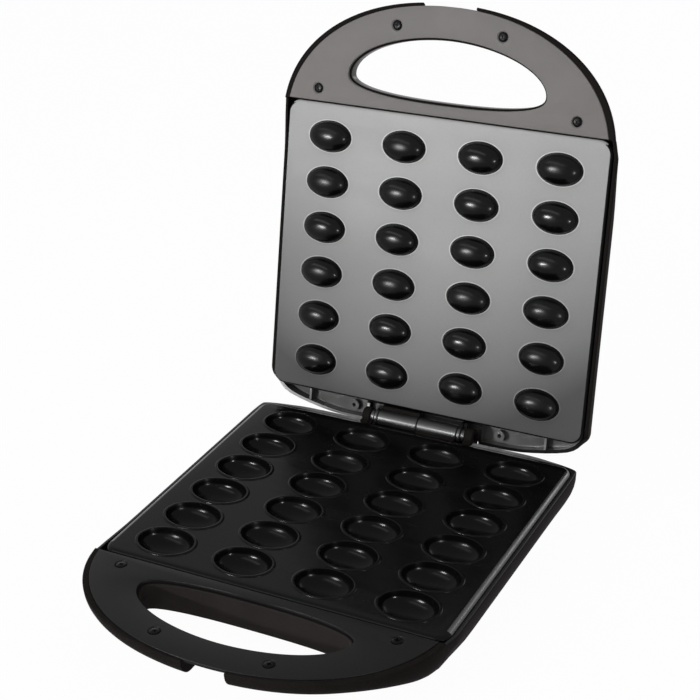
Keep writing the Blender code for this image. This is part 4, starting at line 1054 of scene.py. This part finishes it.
# Handle covers and their screws. Profiles are (radius, height)
screw = {
    "sink": 0.0001,
    "crown": 0.0004,
    "shank": ((0.0, -0.009), (0.0013, -0.009), (0.0015, -0.0086), (0.0015, -0.0022), (0.0038, -0.0004)),
    "head": ((0.0040, -0.0002), (0.0039, 0.0001), (0.0034, 0.0004), (0.0022, 0.0006), (0.0, 0.0007)),
    "sinkHole": ((0.0, 0.004), (0.0054, 0.004), (0.0050, 0.0), (0.0046, -0.0005)),
    "shankHole": ((0.0021, -0.0022), (0.0021, -0.008), (0.0, -0.008)),
    "steps": 32,
    "slot": (0.0044, 0.0011, 0.0013),
    "slotTaper": 0.55,
    "slotTop": 0.0006,
    "firstTurn": 25.0,  # degrees
    "nextTurn": 37.0,
}


def coverScrewPlaces(form):
    for x, d in zip(cover["screwX"], cover["screwD"]):
        yield form["shift"] - x, d
        yield form["shift"] + x, d


def makeCover(word):
    form = halves[word]
    bm = bmesh.new()
    bottom = cover["level"] + cover["thick"]
    outer = addLoop(bm, atLevel(coverLine(form, 0.0), bottom))
    inner = addLoop(bm, atLevel(windowLine(form, 0.0), bottom))
    bmesh.ops.bridge_loops(bm, edges=edgesOf(outer) + edgesOf(inner))
    raiseFaces(bm, bm.faces[:], cover["thick"])
    bmesh.ops.recalc_face_normals(bm, faces=bm.faces)
    high = -cover["level"] - 1e-5
    top = [e for e in bm.edges if all(v.co.z > high for v in e.verts)]
    edges = [e for e in top if any(abs(f.normal.z) < 0.5 for f in e.link_faces)]
    roundEdges(bm, edges, cover["edgeRound"], 3, clamp=True)
    made = meshObject(word + "_handle_cover_detail", bm)
    tools = []
    for x, d in coverScrewPlaces(form):
        bm = turnedMesh(screw["sinkHole"] + screw["shankHole"], screw["steps"])
        shiftMesh(bm, (x, -d, -cover["level"]))
        tools.append(meshObject("screwHole", bm))
    addTools(made, "DIFFERENCE", tools)
    settle(made)
    made.data.transform(places[word])
    smoothShade(made, cover["smooth"])
    # The upper cover's look is painted grey, a painted sheen
    slotName = word + "_cover"
    finishPiece(made, bodies[word], slotName, looks[slotName], word + "_handle_cover")


def makeCoverScrew(word, number, place):
    x, d = place
    name = f"{word}_cover_screw_{number}"
    made = meshObject(name + "_detail", turnedMesh(screw["shank"] + screw["head"], screw["steps"]))
    long, wide, deep = screw["slot"]
    taper = screw["slotTaper"]
    tools = []
    for width, length in ((long, wide), (wide, long)):
        bm = boxMesh(both(width / 2), both(length / 2), both(deep))
        bmesh.ops.scale(bm, vec=(taper, taper, 1.0), verts=[v for v in bm.verts if v.co.z < 0])
        shiftMesh(bm, (0, 0, screw["slotTop"]))
        tools.append(meshObject("slot", bm))
    addTools(made, "DIFFERENCE", tools)
    settle(made)
    dropSlivers(made)
    spun = Matrix.Rotation(math.radians(screw["firstTurn"] + screw["nextTurn"] * number), 4, "Z")
    level = -cover["level"] - screw["sink"] - screw["crown"]
    made.data.transform(places[word] @ Matrix.Translation((x, -d, level)) @ spun)
    smoothShade(made, cover["smooth"])
    finishPiece(made, bodies[word], "black_screw", looks["black_screw"], name)


for word in halves:
    makeCover(word)
    for number, place in enumerate(coverScrewPlaces(halves[word])):
        makeCoverScrew(word, number + 1, place)
print("scene: handle covers and screws made")


# Baking plates, and the ovals on them as (share of the half length or width, height)
plate = {
    "halfWidth": 0.1413,
    "rear": 0.0112,
    "front": 0.2546,
    "corner": 0.011,
    "cornerSteps": 12,
    "level": 0.0005,
    "thick": 0.004,
    "skirt": 0.009,
    "skirtWidth": 0.003,
    "upperRound": 0.0026,
    "lowerRound": 0.0042,
    "roundSteps": 5,
    "rows": 6,
    "columns": 4,
    "firstRow": 0.038,
    "rowPitch": 0.038,
    "columnPitch": 0.067,
    "bowlSteps": 14,
    "bowlSides": 56,
    "smooth": 34.0,  # degrees
    "slack": 0.0001,
    "faceRise": 0.97,  # least rise of the upper plate's face
    "frontRise": 0.45,
}
dome = {
    "length": 0.037,
    "width": 0.025,
    "height": 0.0095,
    "power": 2.25,
    "first": 0.055,
    "foot": ((1.13, -0.030), (1.095, 0.010), (1.045, 0.016), (1.012, 0.040)),
    "ring": 0.0002,
}
cavity = {
    "length": 0.044,
    "width": 0.032,
    "depth": 0.0115,
    "power": 2.3,
    "first": 0.06,
    "rimOut": ((1.165, -0.0008), (1.155, 0.0), (1.14, 0.00045)),
    "rimIn": ((1.115, 0.00075), (1.075, 0.00088), (1.03, 0.0006)),
    "hole": (1.06, 0.03),  # (growth, height of the tool)
}


def patternPlaces():
    for row in range(plate["rows"]):
        for column in range(plate["columns"]):
            x = plate["columnPitch"] * (column - (plate["columns"] - 1) / 2)
            yield x, plate["firstRow"] + row * plate["rowPitch"]


# A tray-shaped slab with round corners and a rolled upper edge
def plateSlab(edgeRound):
    span, levels = (plate["rear"], plate["front"]), (plate["level"], plate["skirt"])
    bm = boxMesh(both(plate["halfWidth"]), span, levels)
    upright = [e for e in bm.edges if abs(e.verts[0].co.z - e.verts[1].co.z) > 0.001]
    roundEdges(bm, upright, plate["corner"], plate["cornerSteps"])
    top = [e for e in bm.edges if all(v.co.z > -plate["level"] - 1e-5 for v in e.verts)]
    roundEdges(bm, top, edgeRound, plate["roundSteps"])
    bmesh.ops.recalc_face_normals(bm, faces=bm.faces)
    under = [f for f in bm.faces if f.normal.z < -0.9]
    bmesh.ops.inset_region(bm, faces=under, thickness=plate["skirtWidth"], use_even_offset=True)
    raiseFaces(bm, under, plate["skirt"] - plate["level"] - plate["thick"])
    bmesh.ops.delete(bm, geom=under, context="FACES_ONLY")
    tidySolid(bm)
    return bm


# The points of a bowl of radius and height 1, from its rim to its pole
def bowlLine(form):
    for i in range(plate["bowlSteps"] + 1):
        a = math.pi / 2 * blend(form["first"], 1.0, i / plate["bowlSteps"])
        radius = math.cos(a) ** (2 / form["power"]) if i < plate["bowlSteps"] else 0.0
        yield radius, math.sin(a) ** (2 / form["power"])


# A round shape with its faces pointing up
def bowlMesh(profile):
    bm = turnedMesh(profile, plate["bowlSides"], gap=1e-5)
    if sum(f.normal.z for f in bm.faces) < 0:
        bmesh.ops.reverse_faces(bm, faces=bm.faces)
    return bm


# Adds oval copies of a shape whose radius is 1 to bm, one at each place of the pattern
def addPattern(bm, source, length, width, height):
    size = Matrix.Diagonal((length / 2, width / 2, height, 1.0))
    for x, d in patternPlaces():
        mesh = bpy.data.meshes.new("oval")
        copied = source.copy()
        place = Matrix.Translation((x, -d, -plate["level"]))
        bmesh.ops.transform(copied, matrix=place @ size, verts=copied.verts)
        copied.to_mesh(mesh)
        copied.free()
        bm.from_mesh(mesh)
        bpy.data.meshes.remove(mesh)
    source.free()


def makeUpperPlate():
    made = meshObject("upper_plate_detail", plateSlab(plate["upperRound"]))
    bm = bmesh.new()
    bowl = bowlMesh([*dome["foot"], *bowlLine(dome)])
    addPattern(bm, bowl, dome["length"], dome["width"], dome["height"])
    domes = meshObject("upper_plate_domes", bm)
    for item in (made, domes):
        item.data.transform(places["upper"])
        smoothShade(item, plate["smooth"])
    front = plate["front"] - plate["upperRound"]
    ring = plate["level"] - dome["ring"]

    # The plate's rolled edges and sides get the near-black painted shade
    def onEdge(x, d, level, rise):
        return rise < plate["frontRise" if d > front else "faceRise"]

    finishPiece(made, "lid", "upper_coating", looks["upper_coating"], "upper_plate")
    paintFaces(made, places["upper"], [("edge_black", onEdge)])
    finishPiece(domes, "lid", "upper_coating", looks["dome_coating"], "upper_plate")
    # Each dome's foot gets the paler painted sheen
    paintFaces(domes, places["upper"], [("dome_ring", lambda x, d, level, rise: level > ring)])


def makeLowerPlate():
    made = meshObject("lower_plate_slab", plateSlab(plate["lowerRound"]))
    length, width, depth = cavity["length"], cavity["width"], cavity["depth"]
    grow, tall = cavity["hole"]
    bm = bmesh.new()
    addPattern(bm, rodMesh(1.0, 1.0, plate["bowlSides"]), length * grow, width * grow, tall)
    addTools(made, "DIFFERENCE", [meshObject("holes", bm)])
    settle(made)
    profile = [(radius, height / depth) for radius, height in cavity["rimOut"] + cavity["rimIn"]]
    profile += [(radius, -height) for radius, height in bowlLine(cavity)]
    bm = meshOf(made)
    addPattern(bm, bowlMesh(profile), length, width, depth)
    item = meshObject("lower_plate_detail", bm, places["lower"])
    bpy.data.objects.remove(made)
    smoothShade(item, plate["smooth"])
    finishPiece(item, "base", "lower_coating", looks["lower_coating"], "lower_plate")
    # The lower plate's side edges get the painted sheen
    side = plate["halfWidth"] - plate["lowerRound"] - plate["slack"]
    front = plate["front"] - plate["corner"]
    paintFaces(item, places["lower"], [("edge_sheen", lambda x, d, level, rise: abs(x) > side and d < front)])


makeUpperPlate()
makeLowerPlate()
print("scene: baking plates made")


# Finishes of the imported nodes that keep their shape
corners = ("front_left", "front_right", "rear_left", "rear_right")
nodeLooks = {
    "rubber": ["cord_inlet"] + [corner + "_foot" for corner in corners],
    "steel": ["hinge_pin", "latch_pin", "thermal_fuse", "thermostat"],
    "insulator": ["lamp_board", "terminal_block"],
    "black_shell": ["latch_clip"],
    "red_lens": ["power_lamp_lens"],
    "green_lens": ["ready_lamp_lens"],
    "element_sheath": [word + "_heating_element" for word in halves],
    "reflector_sheet": [word + "_reflector" for word in halves],
}
nodeLooks["steel"] += [f"{word}_plate_screw_{number}" for word in halves for number in range(1, 5)]
for look, names in nodeLooks.items():
    for name in names:
        dress(nodes[name], looks[look])
print("scene: packed nodes dressed")


# Floor, light and camera
studio = {
    "floorSize": 6.0,
    "floorTone": 0.92,
    "worldLight": 0.42,
    "floorGlow": 0.97,
    "target": (0.0, -0.02, 0.14),  # from the hinge
    "lamps": (
        # name, direction from the object, distance, width, height, power, whether matt surfaces get its light
        ("keyLeft", (-0.430, -0.880, 0.200), 1.8, 0.40, 0.12, 9.5, True),
        ("glint", (-0.430, -0.880, 0.200), 1.75, 0.30, 0.11, 22.0, False),
        ("dotRight", (0.718, -0.693, 0.070), 1.8, 0.11, 0.11, 14.0, False),
        ("overhead", (-0.40, -0.64, 0.66), 2.1, 2.00, 0.42, 9.0, True),
        ("backFill", (0.44, 0.80, 0.40), 2.0, 1.10, 0.50, 6.0, True),
    ),
}
shot = {
    "azimuth": 26.965,  # degrees
    "elevation": 26.865,
    "roll": -2.028,
    "distance": 1.405849,
    "hingeImage": (419.195, 425.448),  # pixels
    "centre": (401.265, 328.645),
    "focal": 1696.723,
    "size": 700.0,
    "sensor": 36.0,  # millimetres
    "clip": (0.05, 50.0),
}


# 1 for rays of the given kinds and 0 for the rest
def rayMask(finish, *kinds):
    rays = [finish.node("ShaderNodeLightPath", output=f"Is {kind} Ray") for kind in kinds]
    return finish.node("ShaderNodeMath", {"operation": "MINIMUM"}, {0: sum(rays), 1: 1.0})


def makeWorld():
    world = bpy.data.worlds.new("studioWorld")
    bpy.context.scene.world = world
    finish = Finish(world)
    white = rayMask(finish, "Camera", "Glossy", "Transmission")
    strength = white * (1.0 - studio["worldLight"]) + studio["worldLight"]
    background = finish.node("ShaderNodeBackground", values={"Color": (1, 1, 1, 1), "Strength": strength})
    finish.node("ShaderNodeOutputWorld", values={"Surface": background})


def makeFloor():
    bm = bmesh.new()
    bmesh.ops.create_grid(bm, x_segments=1, y_segments=1, size=studio["floorSize"] / 2)
    floor = meshObject("floor", bm)
    finish = newFinish("paleFloor")
    tone = (*[studio["floorTone"]] * 3, 1.0)
    diffuse = finish.node("ShaderNodeBsdfDiffuse", values={"Color": tone})
    glow = finish.node("ShaderNodeEmission", values={"Color": (1, 1, 1, 1), "Strength": 1.0})
    share = rayMask(finish, "Camera", "Glossy") * studio["floorGlow"]
    mixed = finish.node("ShaderNodeMixShader", values={0: share, 1: diffuse, 2: glow})
    finish.node("ShaderNodeOutputMaterial", values={"Surface": mixed})
    dress(floor, finish.owner)


def makeLamps():
    target = hinge + Vector(studio["target"])
    for name, direction, distance, width, height, power, onMatt in studio["lamps"]:
        light = bpy.data.lights.new(name, "AREA")
        light.shape = "RECTANGLE"
        light.size = width
        light.size_y = height
        light.energy = power
        lamp = linked(name, light)
        lamp.visible_diffuse = onMatt
        away = Vector(direction).normalized()
        lamp.location = target + away * distance
        lamp.rotation_mode = "QUATERNION"
        lamp.rotation_quaternion = away.to_track_quat("Z", "Y")


def makeCamera():
    azimuth, elevation, roll = (math.radians(shot[k]) for k in ("azimuth", "elevation", "roll"))
    across = math.cos(elevation)
    back = Vector((math.sin(azimuth) * across, -math.cos(azimuth) * across, math.sin(elevation)))
    side = Vector((0, 0, 1)).cross(back).normalized()
    rise = back.cross(side)
    right = side * math.cos(roll) + rise * math.sin(roll)
    above = rise * math.cos(roll) - side * math.sin(roll)
    u, v = shot["hingeImage"]
    cx, cy = shot["centre"]
    reach, focal, size = shot["distance"], shot["focal"], shot["size"]
    place = hinge - right * ((u - cx) * reach / focal) + above * ((v - cy) * reach / focal) + back * reach
    data = bpy.data.cameras.new("photoCamera")
    data.sensor_width = shot["sensor"]
    data.sensor_fit = "HORIZONTAL"
    data.lens = focal / size * shot["sensor"]
    data.shift_x = (size / 2 - cx) / size
    data.shift_y = (cy - size / 2) / size
    data.clip_start, data.clip_end = shot["clip"]
    camera = linked("photoCamera", data)
    turn = Matrix((right, above, back)).transposed().to_4x4()
    camera.matrix_world = Matrix.Translation(place) @ turn
    bpy.context.scene.camera = camera


makeWorld()
makeFloor()
makeLamps()
makeCamera()
bpy.context.scene.view_settings.view_transform = "Standard"
print("scene: floor, lights and camera made")
